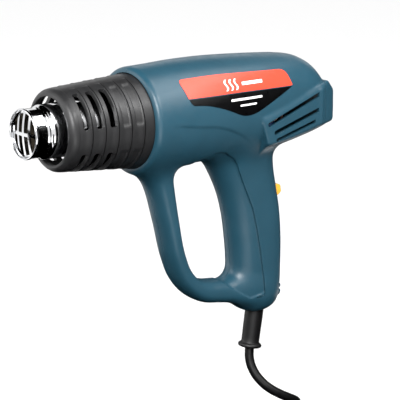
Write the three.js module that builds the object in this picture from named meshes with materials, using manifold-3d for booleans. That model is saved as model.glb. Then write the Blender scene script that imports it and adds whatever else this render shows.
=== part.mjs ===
// A hand-held heat gun with a guard loop in front of its handle, as an assembly of separate pieces.
// Millimetres, +Z up. The nozzle points along -X, the handle along -Z, and the gun is symmetric in Y.
// The model's origin is the middle of the handle, where a hand holds the tool. Inside the file every
// place is given in the barrel frame: X runs rearward from the joint between the black nozzle shroud
// and the blue housing, and Z is measured from the barrel's axis.
import * as THREE from 'three';
import { mergeVertices } from 'three/addons/utils/BufferGeometryUtils.js';
import Module from 'manifold-3d';

// ---------------------------------------------------------------- driving dimensions

const GRIP_CENTRE = new THREE.Vector3(112, 0, -86); // in the barrel frame
const GAP = 0.3; // running and fitting clearance between pieces
const WALL = 2.4; // housing wall
const BODY_SIDES = 20; // facets round the barrel
const CAP_JOINT_X = 161.5; // where the tail cap meets the two housings
const TAIL_X = 176; // flat rear face
const TAIL_WALL_X = TAIL_X - WALL;
const OUTSIDE = 60; // farther from the barrel's axis than the gun's sides and top

// Outline of the barrel, front to rear: x, top z, bottom z, half width, squareness of the section.
const BARREL = [
  [0, 36.1, -36.1, 36.1, 2],
  [1.5, 37.3, -37.3, 37.3, 2],
  [18, 38.1, -37.5, 37.6, 2.05],
  [64, 39.7, -36.5, 37.2, 2.15],
  [98, 38.8, -36, 34, 2.25],
  [135, 36.6, -31, 29.2, 2.35],
  [150, 33.8, -28, 26.8, 2.4],
  [160, 27.5, -25.5, 25, 2.5],
  [168, 18.5, -23, 23, 2.7],
  [TAIL_X, 9.5, -19.5, 20, 3],
];

// The boxy air intake under the rear of the barrel, front to rear: x at the top, how much x grows per
// millimetre below the top, top z, upper and lower z of the upright side, keel z, half width of the side,
// half width of the top.
const INTAKE = [
  [92.5, 0.36, -3.6, -6.5, -24, -36.2, 34.4, 32.5],
  [95.3, 0.41, -2.4, -6.2, -24, -37.2, 36.6, 34.2],
  [127, 0, 6, 2.4, -21.4, -34, 32.3, 29.9],
  [158, 0, 14.4, 10.8, -16.2, -27.2, 27.8, 25.4],
  [168, 0, 15.2, 11.2, -14.7, -24.3, 24.3, 20.8],
  [TAIL_X, 0, 9.5, 3.5, -13, -20.7, 20.5, 14.5],
];

// The handle, top to bottom: z, front x, back x, half width.
const GRIP = [
  [-26, 62, 124, 25],
  [-38, 69.5, 127, 21],
  [-47, 74.8, 128.5, 18.5],
  [-62, 82, 131.5, 17.5],
  [-78.5, 87, 134.7, 17],
  [-96.5, 90, 136.3, 17],
  [-122, 92, 136, 16.8],
  [-136, 91.5, 135.5, 16.5],
  [-147, 97, 134, 15],
  [-156, 105, 128, 11],
];
const GRIP_SQUARENESS = 2.3;
const GRIP_FLOOR_Z = -156;

// The guard loop's centre line from the barrel round to the handle's foot:
// x, z, half thickness in the loop's plane, half width.
const LOOP = [
  [20, -27, 13, 15],
  [26, -45, 9.5, 12.6],
  [33, -75, 7.2, 11.8],
  [40, -104, 6.6, 11.6],
  [46, -118, 6.7, 11.6],
  [56, -128.5, 7.3, 11.8],
  [66, -133.3, 8.2, 12],
  [78, -135.2, 8.6, 12.2],
  [92, -136.5, 9.4, 12.5],
  [112, -139, 10.5, 13],
];
const LOOP_RINGS = 11;

// Nozzle
const TUBE_FRONT_X = -84.5;
const TUBE_STEP_X = -71;
const TUBE_REAR_X = 19;
const HEATER_BASE_FRONT_X = 10;
const HEATER_BASE_REAR_X = 15;
const HEATER_LEAD_YS = [-5, 5];
const HEATER_LEAD_Z = -6;
const MOUTH_R = 17.3;
const NECK_R = 16.8;
const TUBE_R = 18.5;
const TUBE_SHEET = 0.8;
const SHROUD_FRONT_X = -64;
const SHROUD_RING_XS = [-48.3, -38.2, -28, -18, -7.8];
const SHROUD_SLOT_HALF_ANGLE = THREE.MathUtils.degToRad(28);
const SHROUD_SLOT_MIDDLE = THREE.MathUtils.degToRad(56); // of one of the four slots in a ring
const SHROUD_SLOT_WIDTH = 5;
const SHROUD_REAR_R = 33.1;
const SHROUD_FLANGE_X = 3.5; // front of the flange that the housings trap

// Blower and motor, all on the barrel's axis
const DUCT_R = 28;
const FAN_R = 25;
const SHAFT_R = 1.5;
const MOTOR_FRONT_X = 92.8;
const MOTOR_REAR_X = 124;
const MOTOR_CAP_REAR_X = 129;
const MOTOR_R = 15;
const MOTOR_SHEET = 1.1;
const ARMATURE_R = 11.2;
const BUSH_SEAT_R = 3.6;

// Switch on the back of the handle
const SWITCH_POINT = new THREE.Vector3(132.4, 0, -66.5); // on the handle's back, at the knob's middle
const SWITCH_TILT = -0.192; // the handle's back leans forward going up
const SWITCH_TRAVEL = 9;
const KNOB_NECK_HALF_WIDTH = 2.4;
const KNOB_NECK_HALF_HEIGHT = 2.7;
const PANEL_HALF_WIDTH = 12;

// Power cord
const CORD_R = 3.5;
const BOOT_POINT = new THREE.Vector3(116.8, 0, -156.3); // where the boot leaves the handle
const BOOT_TILT = 0.156; // the boot leans forward going down
const BOOT_LENGTH = 30;
const BOOT_R = 7;
const FLOOR_Z = -277; // what the cord's coil and plug lie on
const COIL_CENTRE = new THREE.Vector2(118, 6);
const COIL_INNER_R = 28;
const COIL_OUTER_R = 49;
const COIL_TOP_Z = FLOOR_Z + 6 * CORD_R;

// Screws that join the housings, driven from the right side: x, z.
const HOUSING_SCREWS = [
  [48, 31.8],
  [100, 31.5],
  [146, 21],
  [26, -46],
  [92, -43],
  [50.5, -123],
  [103, -131],
];
const BOSS_R = 4;
const SCREW_R = 1.5;
const SCREW_SEAT_Y = 8;

// ---------------------------------------------------------------- materials

function finish(color, roughness, metalness) {
  return new THREE.MeshStandardMaterial({ color, roughness, metalness });
}

const blueNylon = finish(0x345d70, 0.45, 0);
const blackNylon = finish(0x3a3a3c, 0.5, 0);
const chrome = finish(0xd8dadc, 0.12, 1);
const steel = finish(0x9a9ca0, 0.35, 1);
const mica = finish(0xc9b48a, 0.6, 0);
const ceramic = finish(0xe6e0d2, 0.5, 0);
const resistanceWire = finish(0x8a7f78, 0.4, 1);
const amberNylon = finish(0xe6aa3c, 0.4, 0);
const blackRubber = finish(0x1c1c1d, 0.7, 0);
const copper = finish(0xb87346, 0.35, 1);
const magnetGrey = finish(0x4a4b4e, 0.6, 0.3);
const boardGreen = finish(0x2e6b45, 0.5, 0);
const labelRed = finish(0xf05a41, 0.35, 0);
const whiteNylon = finish(0xe9e7e0, 0.45, 0);
const wireBrown = finish(0x6b4226, 0.5, 0);
const wireBlue = finish(0x2f62b8, 0.5, 0);
const brass = finish(0xc8a24c, 0.3, 1);

// ---------------------------------------------------------------- solids

const wasm = await Module();
wasm.setup();

function toSolid(geometry) {
  const bare = new THREE.BufferGeometry();
  bare.setAttribute('position', geometry.getAttribute('position'));
  bare.setIndex(geometry.getIndex());
  const merged = mergeVertices(bare);
  const corners = merged.getIndex().array;
  const kept = [];
  for (let i = 0; i < corners.length; i += 3) {
    const [a, b, c] = corners.slice(i, i + 3);
    if (a !== b && b !== c && c !== a) kept.push(a, b, c);
  }
  return new wasm.Manifold(new wasm.Mesh({
    numProp: 3,
    vertProperties: new Float32Array(merged.getAttribute('position').array),
    triVerts: new Uint32Array(kept),
  }));
}

function toGeometry(solid) {
  const mesh = solid.getMesh();
  const geometry = new THREE.BufferGeometry();
  geometry.setAttribute('position', new THREE.BufferAttribute(mesh.vertProperties, 3));
  geometry.setIndex(new THREE.BufferAttribute(mesh.triVerts, 1));
  geometry.computeVertexNormals();
  return geometry;
}

function joined(solids) {
  return solids.reduce((whole, solid) => whole.add(solid));
}

function box(x0, x1, y0, y1, z0, z1) {
  const geometry = new THREE.BoxGeometry(x1 - x0, y1 - y0, z1 - z0);
  geometry.translate((x0 + x1) / 2, (y0 + y1) / 2, (z0 + z1) / 2);
  return toSolid(geometry);
}

function cylinderAlongY(x, z, radius, y0, y1, sides = 8) {
  const geometry = new THREE.CylinderGeometry(radius, radius, y1 - y0, sides);
  geometry.translate(x, (y0 + y1) / 2, z);
  return toSolid(geometry);
}

function cylinderAlongZ(x, y, radius, z0, z1, sides = 10) {
  const geometry = new THREE.CylinderGeometry(radius, radius, z1 - z0, sides);
  geometry.rotateX(Math.PI / 2);
  geometry.translate(x, y, (z0 + z1) / 2);
  return toSolid(geometry);
}

// Twice the area inside a profile, positive when it runs counter-clockwise.
function signedArea(profile) {
  return profile.reduce((sum, [x, y], i) => {
    const [nextX, nextY] = profile[(i + 1) % profile.length];
    return sum + x * nextY - nextX * y;
  }, 0);
}

// A turned solid about the X axis. The profile lists [x, radius] and closes on itself, or on the axis.
function turnedAboutX(profile, sides = BODY_SIDES) {
  const outward = signedArea(profile) > 0 ? [...profile].reverse() : [...profile];
  const touchesAxis = outward.filter(([, radius]) => radius === 0).length;
  while (touchesAxis && !(outward[0][1] === 0 && outward.at(-1)[1] === 0)) outward.push(outward.shift());
  if (!touchesAxis) outward.push(outward[0]);
  const points = outward.map(([x, radius]) => new THREE.Vector2(radius, x));
  const geometry = new THREE.LatheGeometry(points, sides);
  geometry.rotateZ(-Math.PI / 2);
  return toSolid(geometry);
}

function ringAboutX(x0, x1, innerR, outerR, sides = BODY_SIDES) {
  return turnedAboutX([[x0, innerR], [x1, innerR], [x1, outerR], [x0, outerR]], sides);
}

function discAboutX(x0, x1, radius, sides = BODY_SIDES) {
  return turnedAboutX([[x0, 0], [x1, 0], [x1, radius], [x0, radius]], sides);
}

// A flat outline in the Y-Z plane, pushed from x0 to x1.
function pushedAlongX(shape, x0, x1, curveSegments = 4) {
  const geometry = new THREE.ExtrudeGeometry(shape, { depth: x1 - x0, bevelEnabled: false, curveSegments });
  const yAxis = new THREE.Vector3(0, 1, 0);
  const zAxis = new THREE.Vector3(0, 0, 1);
  const xAxis = new THREE.Vector3(1, 0, 0);
  geometry.applyMatrix4(new THREE.Matrix4().makeBasis(yAxis, zAxis, xAxis));
  geometry.translate(x0, 0, 0);
  return toSolid(geometry);
}

// A flat outline in the X-Z plane, pushed from y0 to y1.
function pushedAlongY(outline, y0, y1) {
  const shape = new THREE.Shape(outline.map(([x, z]) => new THREE.Vector2(x, z)));
  const geometry = new THREE.ExtrudeGeometry(shape, { depth: y1 - y0, bevelEnabled: false });
  geometry.rotateX(Math.PI / 2);
  geometry.translate(0, y1, 0);
  return toSolid(geometry);
}

// The same outline, pushed from a distance inside out past the gun's side. Side -1 is the left.
function pushedOutward(outline, side, innermostY) {
  return side < 0
    ? pushedAlongY(outline, -OUTSIDE, -innermostY)
    : pushedAlongY(outline, innermostY, OUTSIDE);
}

// A sector of a ring about the X axis, round the direction `middle` in the Y-Z plane.
function ringSector(x0, x1, innerR, outerR, middle, halfAngle) {
  const shape = new THREE.Shape();
  shape.absarc(0, 0, outerR, middle - halfAngle, middle + halfAngle, false);
  shape.absarc(0, 0, innerR, middle + halfAngle, middle - halfAngle, true);
  return pushedAlongX(shape, x0, x1);
}

// A skin through rings of equal length, closed by a flat fan at each end.
function loft(rings) {
  const count = rings[0].length;
  const positions = rings.flat().flatMap((point) => point.toArray());
  const corners = [];
  for (let ring = 0; ring < rings.length - 1; ring += 1) {
    for (let k = 0; k < count; k += 1) {
      const a = ring * count + k;
      const b = ring * count + ((k + 1) % count);
      corners.push(a, b, b + count, a, b + count, a + count);
    }
  }
  const last = (rings.length - 1) * count;
  for (let k = 1; k < count - 1; k += 1) {
    corners.push(0, k + 1, k);
    corners.push(last, last + k, last + k + 1);
  }
  const geometry = new THREE.BufferGeometry();
  geometry.setAttribute('position', new THREE.Float32BufferAttribute(positions, 3));
  geometry.setIndex(corners);
  return toSolid(geometry);
}

function power(value, squareness) {
  return Math.sign(value) * Math.abs(value) ** (2 / squareness);
}

// A tube of round section along a smooth curve through the points.
function tube(points, radius, sides, steps) {
  const path = new THREE.CatmullRomCurve3(points.map((point) => new THREE.Vector3(...point)));
  const outline = [];
  for (let k = 0; k < sides; k += 1) {
    const angle = (2 * Math.PI * k) / sides;
    outline.push(new THREE.Vector2(radius * Math.cos(angle), radius * Math.sin(angle)));
  }
  const shape = new THREE.Shape(outline);
  return toSolid(new THREE.ExtrudeGeometry(shape, { steps, extrudePath: path, bevelEnabled: false }));
}

// ---------------------------------------------------------------- housing

function sectionRing([x, top, bottom, halfWidth, squareness], inset, sides) {
  const ring = [];
  const middle = (top + bottom) / 2;
  const halfHeight = (top - bottom) / 2 - inset;
  for (let k = 0; k < sides; k += 1) {
    const angle = (2 * Math.PI * k) / sides;
    const y = (halfWidth - inset) * power(Math.cos(angle), squareness);
    const z = middle + halfHeight * power(Math.sin(angle), squareness);
    ring.push(new THREE.Vector3(x, y, z));
  }
  return ring;
}

function barrel(inset) {
  return loft(BARREL.map((station) => sectionRing(station, inset, BODY_SIDES)));
}

function intakeRing([x, lean, top, shoulder, low, keel, halfWidth, topHalfWidth], inset) {
  const side = halfWidth - inset;
  const topSide = topHalfWidth - inset;
  const frontX = x + inset * Math.sign(lean);
  const right = [[side, low + inset / 2], [side, shoulder - inset / 2], [topSide, top - inset]];
  const left = right.map(([y, z]) => [-y, z]).reverse();
  const outline = [...right, ...left, [0, keel + inset]];
  return outline.map(([y, z]) => new THREE.Vector3(frontX + lean * (top - z), y, z));
}

function intake(inset) {
  return loft(INTAKE.map((station) => intakeRing(station, inset)));
}

function grip(inset) {
  const sides = 16;
  const rings = GRIP.map(([z, front, back, halfWidth]) => {
    const ring = [];
    const middle = (front + back) / 2;
    const halfDepth = (back - front) / 2 - inset;
    for (let k = 0; k < sides; k += 1) {
      const angle = (2 * Math.PI * k) / sides;
      const x = middle + halfDepth * power(Math.cos(angle), GRIP_SQUARENESS);
      const y = -(halfWidth - inset) * power(Math.sin(angle), GRIP_SQUARENESS);
      ring.push(new THREE.Vector3(x, y, z));
    }
    return ring;
  });
  return loft(rings);
}

function guardLoop(inset) {
  const sides = 10;
  const path = new THREE.CatmullRomCurve3(LOOP.map(([x, z]) => new THREE.Vector3(x, 0, z)));
  const sizes = LOOP.map((station) => new THREE.Vector3(station[2], station[3], 0));
  const size = new THREE.CatmullRomCurve3(sizes);
  const rings = [];
  for (let i = 0; i <= LOOP_RINGS; i += 1) {
    const along = i / LOOP_RINGS;
    const centre = path.getPoint(along);
    const tangent = path.getTangent(along);
    const { x: halfThickness, y: halfWidth } = size.getPoint(along);
    const across = new THREE.Vector3(tangent.z, 0, -tangent.x);
    const ring = [];
    for (let k = 0; k < sides; k += 1) {
      const angle = (2 * Math.PI * k) / sides;
      const point = centre.clone();
      point.addScaledVector(across, (halfThickness - inset) * Math.cos(angle));
      point.y += (halfWidth - inset) * Math.sin(angle);
      ring.push(point);
    }
    rings.push(ring);
  }
  return loft(rings);
}

function outerBody() {
  return joined([barrel(0), intake(0), grip(0), guardLoop(0)]);
}

function innerBody() {
  const hollow = joined([barrel(WALL), intake(WALL), grip(WALL), guardLoop(WALL)]);
  const frontWallX = 3;
  const room = box(frontWallX, TAIL_WALL_X, -OUTSIDE, OUTSIDE, GRIP_FLOOR_Z + WALL, OUTSIDE);
  return hollow.intersect(room);
}

// Three slanted air slots on each side of the intake: ends of each slot's middle line, x and z.
const INTAKE_SLOTS = [
  [99.5, -9, 153.9, 6.9],
  [105.5, -15.4, 153.7, -4.4],
  [107.5, -21, 150.3, -12.4],
];
const INTAKE_SLOT_HEIGHT = 3.5;

function intakeSlots() {
  const innermostY = 18;
  const lower = -INTAKE_SLOT_HEIGHT / 2;
  const upper = INTAKE_SLOT_HEIGHT / 2;
  const slots = [];
  for (const side of [-1, 1]) {
    for (const [x0, z0, x1, z1] of INTAKE_SLOTS) {
      const outline = [[x0, z0 + lower], [x1, z1 + lower], [x1, z1 + upper], [x0, z0 + upper]];
      slots.push(pushedOutward(outline, side, innermostY));
    }
  }
  return joined(slots);
}

// The strip down the back of the handle that carries the switch.
function panelPrism(clearance) {
  const topZ = -39;
  const footZ = -136;
  const behindX = 145;
  const front = [[117.5, topZ], [125, -62], [129, -92], [130, footZ]];
  const outline = front.map(([x, z]) => [x - clearance, z]);
  outline[0][1] += clearance;
  outline.at(-1)[1] -= clearance;
  outline.push([behindX, footZ - clearance], [behindX, topZ + clearance]);
  const halfWidth = PANEL_HALF_WIDTH + clearance;
  return pushedAlongY(outline, -halfWidth, halfWidth);
}

function bossesOn(side) {
  const y0 = side < 0 ? -OUTSIDE : GAP / 2;
  const y1 = side < 0 ? -GAP / 2 : OUTSIDE;
  return joined(HOUSING_SCREWS.map(([x, z]) => cylinderAlongY(x, z, BOSS_R, y0, y1)));
}

function screwHoles() {
  const pilotDepth = 8;
  const holes = [];
  for (const [x, z] of HOUSING_SCREWS) {
    holes.push(cylinderAlongY(x, z, SCREW_R + GAP, -pilotDepth, SCREW_SEAT_Y));
    holes.push(cylinderAlongY(x, z, SCREW_R * 2 + GAP, SCREW_SEAT_Y, OUTSIDE));
  }
  return joined(holes);
}

const CLAMP_POSTS = [110.5, 126.3];
const CLAMP_Z = -140;

function clampPosts() {
  const posts = CLAMP_POSTS.map((x) => cylinderAlongY(x, CLAMP_Z, 3, -20, CORD_R));
  const holes = CLAMP_POSTS.map((x) => cylinderAlongY(x, CLAMP_Z, 1.5, -5, CORD_R + 1));
  return joined(posts).subtract(joined(holes));
}

function housingHalf(side, outer, inner) {
  const shell = outer.subtract(inner);
  const belowGrip = GRIP_FLOOR_Z - OUTSIDE;
  const half = side < 0
    ? box(-OUTSIDE, CAP_JOINT_X, -OUTSIDE, -GAP / 2, belowGrip, OUTSIDE)
    : box(-OUTSIDE, CAP_JOINT_X, GAP / 2, OUTSIDE, belowGrip, OUTSIDE);
  let body = shell.add(bossesOn(side).intersect(outer)).intersect(half);
  if (side < 0) body = body.add(clampPosts().intersect(outer));
  const shroudBore = discAboutX(-1, SHROUD_FLANGE_X - GAP, SHROUD_REAR_R + 0.5);
  const bootHole = placed(cylinderAlongZ(0, 0, BOOT_R + 0.4, -12, 12, 16), BOOT_POINT, BOOT_TILT);
  return body
    .subtract(shroudBore)
    .subtract(intakeSlots())
    .subtract(panelPrism(GAP))
    .subtract(screwHoles())
    .subtract(bootHole);
}

// A solid made about its own origin, turned about Y and moved to its place.
function placed(solid, position, tilt) {
  return toSolid(toGeometry(solid).rotateY(tilt).translate(position.x, position.y, position.z));
}

// The cap closes the rear and reaches a tongue inside each housing.
function tailCap(outer, inner) {
  const frontX = CAP_JOINT_X + GAP;
  const rear = box(frontX, TAIL_X + WALL, -OUTSIDE, OUTSIDE, -OUTSIDE, OUTSIDE);
  const shell = outer.subtract(inner).intersect(rear);
  const tongueFrontX = CAP_JOINT_X - 6;
  const tongueRearX = CAP_JOINT_X + 3.5;
  const [backY, faceY, wallY] = [21.6, 23.2, 24.6];
  const [lowZ, highZ] = [-14, -2];
  const tongues = [
    box(tongueFrontX, tongueRearX, backY, faceY, lowZ, highZ),
    box(tongueFrontX, tongueRearX, -faceY, -backY, lowZ, highZ),
    box(frontX, tongueRearX, backY, wallY, lowZ, highZ),
    box(frontX, tongueRearX, -wallY, -backY, lowZ, highZ),
  ];
  return joined([shell, ...tongues]);
}

function switchPanel(outer, inner) {
  const strip = outer.subtract(inner).intersect(panelPrism(0));
  const halfWidth = KNOB_NECK_HALF_WIDTH + 0.5;
  const halfHeight = KNOB_NECK_HALF_HEIGHT + 0.5;
  const slot = box(-12, 8, -halfWidth, halfWidth, -halfHeight, SWITCH_TRAVEL + halfHeight);
  return strip.subtract(placed(slot, SWITCH_POINT, SWITCH_TILT));
}

// The rating label is a thin film that follows the side of the barrel.
function sideLabel(side) {
  const outline = [
    [27, 28.5],
    [26, 24],
    [30.5, 12.8],
    [46.5, 10.4],
    [60, 6.4],
    [75.5, 2],
    [84, 2.3],
    [127, 15.2],
    [123.5, 27],
  ];
  const thickness = 0.45;
  const film = barrel(-GAP - thickness).subtract(barrel(-GAP));
  return film.intersect(pushedOutward(outline, side, 5));
}

// ---------------------------------------------------------------- nozzle and heater

const CONE_FRONT_X = -58;
const CONE_FRONT_R = 28.7;

function shroudRadius(x) {
  return CONE_FRONT_R + ((SHROUD_REAR_R - CONE_FRONT_R) * (x - CONE_FRONT_X)) / -CONE_FRONT_X;
}

function nozzleShroud() {
  const wall = 2.6;
  const mouthR = 23.2;
  const flangeR = SHROUD_REAR_R + 1.4;
  const flangeRearX = SHROUD_FLANGE_X + 2.5;
  const noseCorner = [[SHROUD_FRONT_X, mouthR], [SHROUD_FRONT_X, 25.6], [-61, 27.9]];
  const outer = [...noseCorner, [CONE_FRONT_X, CONE_FRONT_R]];
  for (const x of SHROUD_RING_XS) {
    outer.push([x - 0.7, shroudRadius(x) + 0.25]);
    outer.push([x, shroudRadius(x) - 0.6]);
  }
  outer.push([SHROUD_FLANGE_X, SHROUD_REAR_R], [SHROUD_FLANGE_X, flangeR], [flangeRearX, flangeR]);
  const inner = [
    [flangeRearX, SHROUD_REAR_R - wall],
    [0, SHROUD_REAR_R - wall],
    [CONE_FRONT_X, CONE_FRONT_R - wall],
    [CONE_FRONT_X - 2, mouthR],
  ];
  const slots = [];
  for (const ringX of SHROUD_RING_XS.slice(0, 3)) {
    for (let quarter = 0; quarter < 4; quarter += 1) {
      const middle = SHROUD_SLOT_MIDDLE + (quarter * Math.PI) / 2;
      const front = ringX - SHROUD_SLOT_WIDTH - 1;
      slots.push(ringSector(front, ringX - 1, 20, OUTSIDE, middle, SHROUD_SLOT_HALF_ANGLE));
    }
  }
  return turnedAboutX([...outer, ...inner]).subtract(joined(slots));
}

function heaterTube() {
  const flangeR = 24;
  const flangeFrontX = TUBE_REAR_X - 1.2;
  const beadRearX = TUBE_FRONT_X + 2;
  const neckRearX = TUBE_STEP_X - 1;
  const outside = [
    [TUBE_FRONT_X, MOUTH_R],
    [beadRearX, MOUTH_R],
    [beadRearX, NECK_R],
    [neckRearX, NECK_R],
    [TUBE_STEP_X, TUBE_R],
    [flangeFrontX, TUBE_R],
    [flangeFrontX, flangeR],
    [TUBE_REAR_X, flangeR],
  ];
  const inside = [
    [TUBE_REAR_X, TUBE_R - TUBE_SHEET],
    [TUBE_STEP_X, TUBE_R - TUBE_SHEET],
    [neckRearX, NECK_R - TUBE_SHEET],
    [TUBE_FRONT_X, NECK_R - TUBE_SHEET],
  ];
  return turnedAboutX([...outside, ...inside]);
}

// A stamped disc with two rows of four slots either side of a cross bar.
function mouthGrille() {
  const radius = NECK_R - TUBE_SHEET - GAP;
  const frontX = TUBE_FRONT_X + 2.3;
  const rearX = frontX + 1.4;
  const slotHalfWidth = 1.6;
  const barHalfHeight = 1.1;
  const rimR = radius - 1.7;
  const slots = [];
  for (const y of [-9.6, -3.2, 3.2, 9.6]) {
    const end = Math.sqrt(rimR ** 2 - (Math.abs(y) + slotHalfWidth) ** 2);
    const [y0, y1] = [y - slotHalfWidth, y + slotHalfWidth];
    slots.push(box(frontX - 1, rearX + 1, y0, y1, barHalfHeight, end));
    slots.push(box(frontX - 1, rearX + 1, y0, y1, -end, -barHalfHeight));
  }
  return discAboutX(frontX, rearX, radius).subtract(joined(slots));
}

function micaSleeve() {
  const outerR = TUBE_R - TUBE_SHEET - 0.5;
  return ringAboutX(TUBE_STEP_X + 1, HEATER_BASE_REAR_X, outerR - 0.9, outerR);
}

function micaCore() {
  const halfWidth = 11;
  const halfThickness = 0.6;
  const frontX = TUBE_STEP_X + 5;
  const rearX = HEATER_BASE_FRONT_X - 2;
  const upright = box(frontX, rearX, -halfThickness, halfThickness, -halfWidth, halfWidth);
  const level = box(frontX, rearX, -halfWidth, halfWidth, -halfThickness, halfThickness);
  return upright.add(level);
}

function heatingCoil() {
  const turns = 7;
  const stepsPerTurn = 9;
  const helixR = 12.8;
  const startX = -62;
  const endX = 4;
  const points = [];
  for (let i = 0; i <= turns * stepsPerTurn; i += 1) {
    const angle = (2 * Math.PI * i) / stepsPerTurn;
    const x = startX + ((endX - startX) * i) / (turns * stepsPerTurn);
    points.push([x, helixR * Math.cos(angle), helixR * Math.sin(angle)]);
  }
  return tube(points, 0.9, 4, turns * stepsPerTurn);
}

function heaterBase() {
  const holeR = 1.5;
  const holes = HEATER_LEAD_YS.map((y) => {
    const hole = new THREE.Shape().absarc(y, HEATER_LEAD_Z, holeR, 0, 2 * Math.PI);
    return pushedAlongX(hole, HEATER_BASE_FRONT_X - 1, HEATER_BASE_REAR_X + 1);
  });
  return discAboutX(HEATER_BASE_FRONT_X, HEATER_BASE_REAR_X, 15.9).subtract(joined(holes));
}

// A small can that stands on the heater's base.
function thermalCutout() {
  const radius = 3.2;
  const length = 7;
  const middleX = HEATER_BASE_REAR_X + GAP + length / 2;
  const can = new THREE.CylinderGeometry(radius, radius, length, 12);
  return toSolid(can.rotateZ(Math.PI / 2).translate(middleX, 0, 8));
}

// ---------------------------------------------------------------- blower and motor

function fanDuct() {
  const wall = 1.6;
  const throatR = 18.4;
  const flangeR = 26;
  const flangeFrontX = TUBE_REAR_X + 0.4;
  const flangeRearX = 22;
  const coneRearX = 58;
  const rearX = 90;
  const duct = turnedAboutX([
    [flangeFrontX, throatR],
    [flangeFrontX, flangeR],
    [flangeRearX, flangeR],
    [flangeRearX, throatR + wall],
    [coneRearX, DUCT_R],
    [rearX, DUCT_R],
    [rearX, DUCT_R - wall],
    [coneRearX, DUCT_R - wall],
    [flangeRearX + 0.5, throatR],
  ]);
  const leadHoles = HEATER_LEAD_YS.map((y) => cylinderAlongZ(30.5, y, 4, -32, -12));
  return duct.subtract(joined(leadHoles));
}

function fanImpeller() {
  const bladeCount = 9;
  const plateFrontX = 82.6;
  const rearX = 84;
  const hubR = 6.5;
  const bladeLength = 13.5;
  const bladeRootR = hubR - 1;
  const bladeTipR = FAN_R - 0.5;
  const backPlate = discAboutX(plateFrontX, rearX, FAN_R);
  const hub = discAboutX(rearX - 15, rearX, hubR, 16);
  const blades = [];
  for (let k = 0; k < bladeCount; k += 1) {
    const blade = new THREE.BoxGeometry(bladeLength, 1.6, bladeTipR - bladeRootR);
    blade.translate(rearX - 1 - bladeLength / 2, 0, (bladeTipR + bladeRootR) / 2);
    blade.rotateX((2 * Math.PI * k) / bladeCount);
    blades.push(toSolid(blade));
  }
  const bore = discAboutX(rearX - 20, rearX + 5, SHAFT_R + GAP, 10);
  return joined([backPlate, hub, ...blades]).subtract(bore);
}

function motorShaft() {
  return discAboutX(67, MOTOR_CAP_REAR_X - 1, SHAFT_R, 10);
}

function motorArmature() {
  const coreFrontX = MOTOR_FRONT_X + 5.2;
  const coreRearX = coreFrontX + 19;
  const core = discAboutX(coreFrontX, coreRearX, ARMATURE_R, 16);
  const commutator = discAboutX(coreRearX - 1, coreRearX + 5.5, 4.5, 16);
  const bore = discAboutX(MOTOR_FRONT_X, MOTOR_REAR_X, SHAFT_R + GAP, 10);
  return core.add(commutator).subtract(bore);
}

function motorCan() {
  const insideR = MOTOR_R - MOTOR_SHEET;
  const insideX = MOTOR_FRONT_X + MOTOR_SHEET;
  return turnedAboutX([
    [MOTOR_FRONT_X, BUSH_SEAT_R],
    [MOTOR_FRONT_X, MOTOR_R],
    [MOTOR_REAR_X, MOTOR_R],
    [MOTOR_REAR_X, insideR],
    [insideX, insideR],
    [insideX, BUSH_SEAT_R],
  ]);
}

function motorMagnet(middle) {
  const frontX = MOTOR_FRONT_X + 5.2;
  const halfAngle = 1.15;
  return ringSector(frontX, frontX + 21, ARMATURE_R + 0.6, MOTOR_R - MOTOR_SHEET - GAP, middle, halfAngle);
}

function motorEndCap() {
  return ringAboutX(MOTOR_REAR_X + GAP, MOTOR_CAP_REAR_X, BUSH_SEAT_R, MOTOR_R);
}

function bearingBush(x) {
  const length = 4;
  return ringAboutX(x, x + length, SHAFT_R + GAP, BUSH_SEAT_R - GAP, 12);
}

// A ring that holds the motor on four arms, open between them for the air.
function motorBracket() {
  const frontX = MOTOR_FRONT_X - 2.4;
  const rearX = MOTOR_FRONT_X - 0.4;
  const armWidth = 4;
  const armLength = 15;
  const arms = [];
  for (let k = 0; k < 4; k += 1) {
    const arm = new THREE.BoxGeometry(rearX - frontX, armWidth, armLength);
    arm.translate((frontX + rearX) / 2, 0, DUCT_R - 1 - armLength / 2);
    arm.rotateX(Math.PI / 4 + (k * Math.PI) / 2);
    arms.push(toSolid(arm));
  }
  const rim = ringAboutX(frontX, rearX, DUCT_R - 2.6, DUCT_R);
  const plate = ringAboutX(frontX, rearX, 4, MOTOR_R);
  return joined([rim, plate, ...arms]);
}

function rectifierBoard() {
  const frontX = MOTOR_CAP_REAR_X + 1.6;
  const rearX = frontX + 1.6;
  const board = discAboutX(frontX, rearX, 13, 20);
  const diodes = [];
  for (const y of [-6, 6]) {
    for (const z of [3, 8]) {
      diodes.push(box(rearX - 0.2, rearX + 2.8, y - 2.5, y + 2.5, z - 1.2, z + 1.2));
    }
  }
  return joined([board, ...diodes]);
}

// ---------------------------------------------------------------- switch and wiring

function switchKnob() {
  const profile = [[0.4, -4.4], [4.2, -3.8], [5.9, -2.2], [6.1, 0], [5.9, 2.2], [4.2, 3.8], [0.4, 4.4]];
  const head = pushedAlongY(profile, -4.5, 4.5);
  const [wide, high] = [KNOB_NECK_HALF_WIDTH, KNOB_NECK_HALF_HEIGHT];
  return head.add(box(-4.6, 1, -wide, wide, -high, high));
}

function switchBody() {
  return box(-20, -5.2, -7, 7, -13, 19);
}

function capacitor() {
  return box(101, 111, -8, 8, -104, -88);
}

function lead(points) {
  const radius = 1.1;
  return tube(points, radius, 5, 2 * (points.length - 1));
}

function supplyLead(y) {
  return lead([
    [120.9, y, -131.5],
    [121.4, y * 1.4, -118],
    [122.4, y * 2, -100],
    [123.4, y * 2, -84],
  ]);
}

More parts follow.
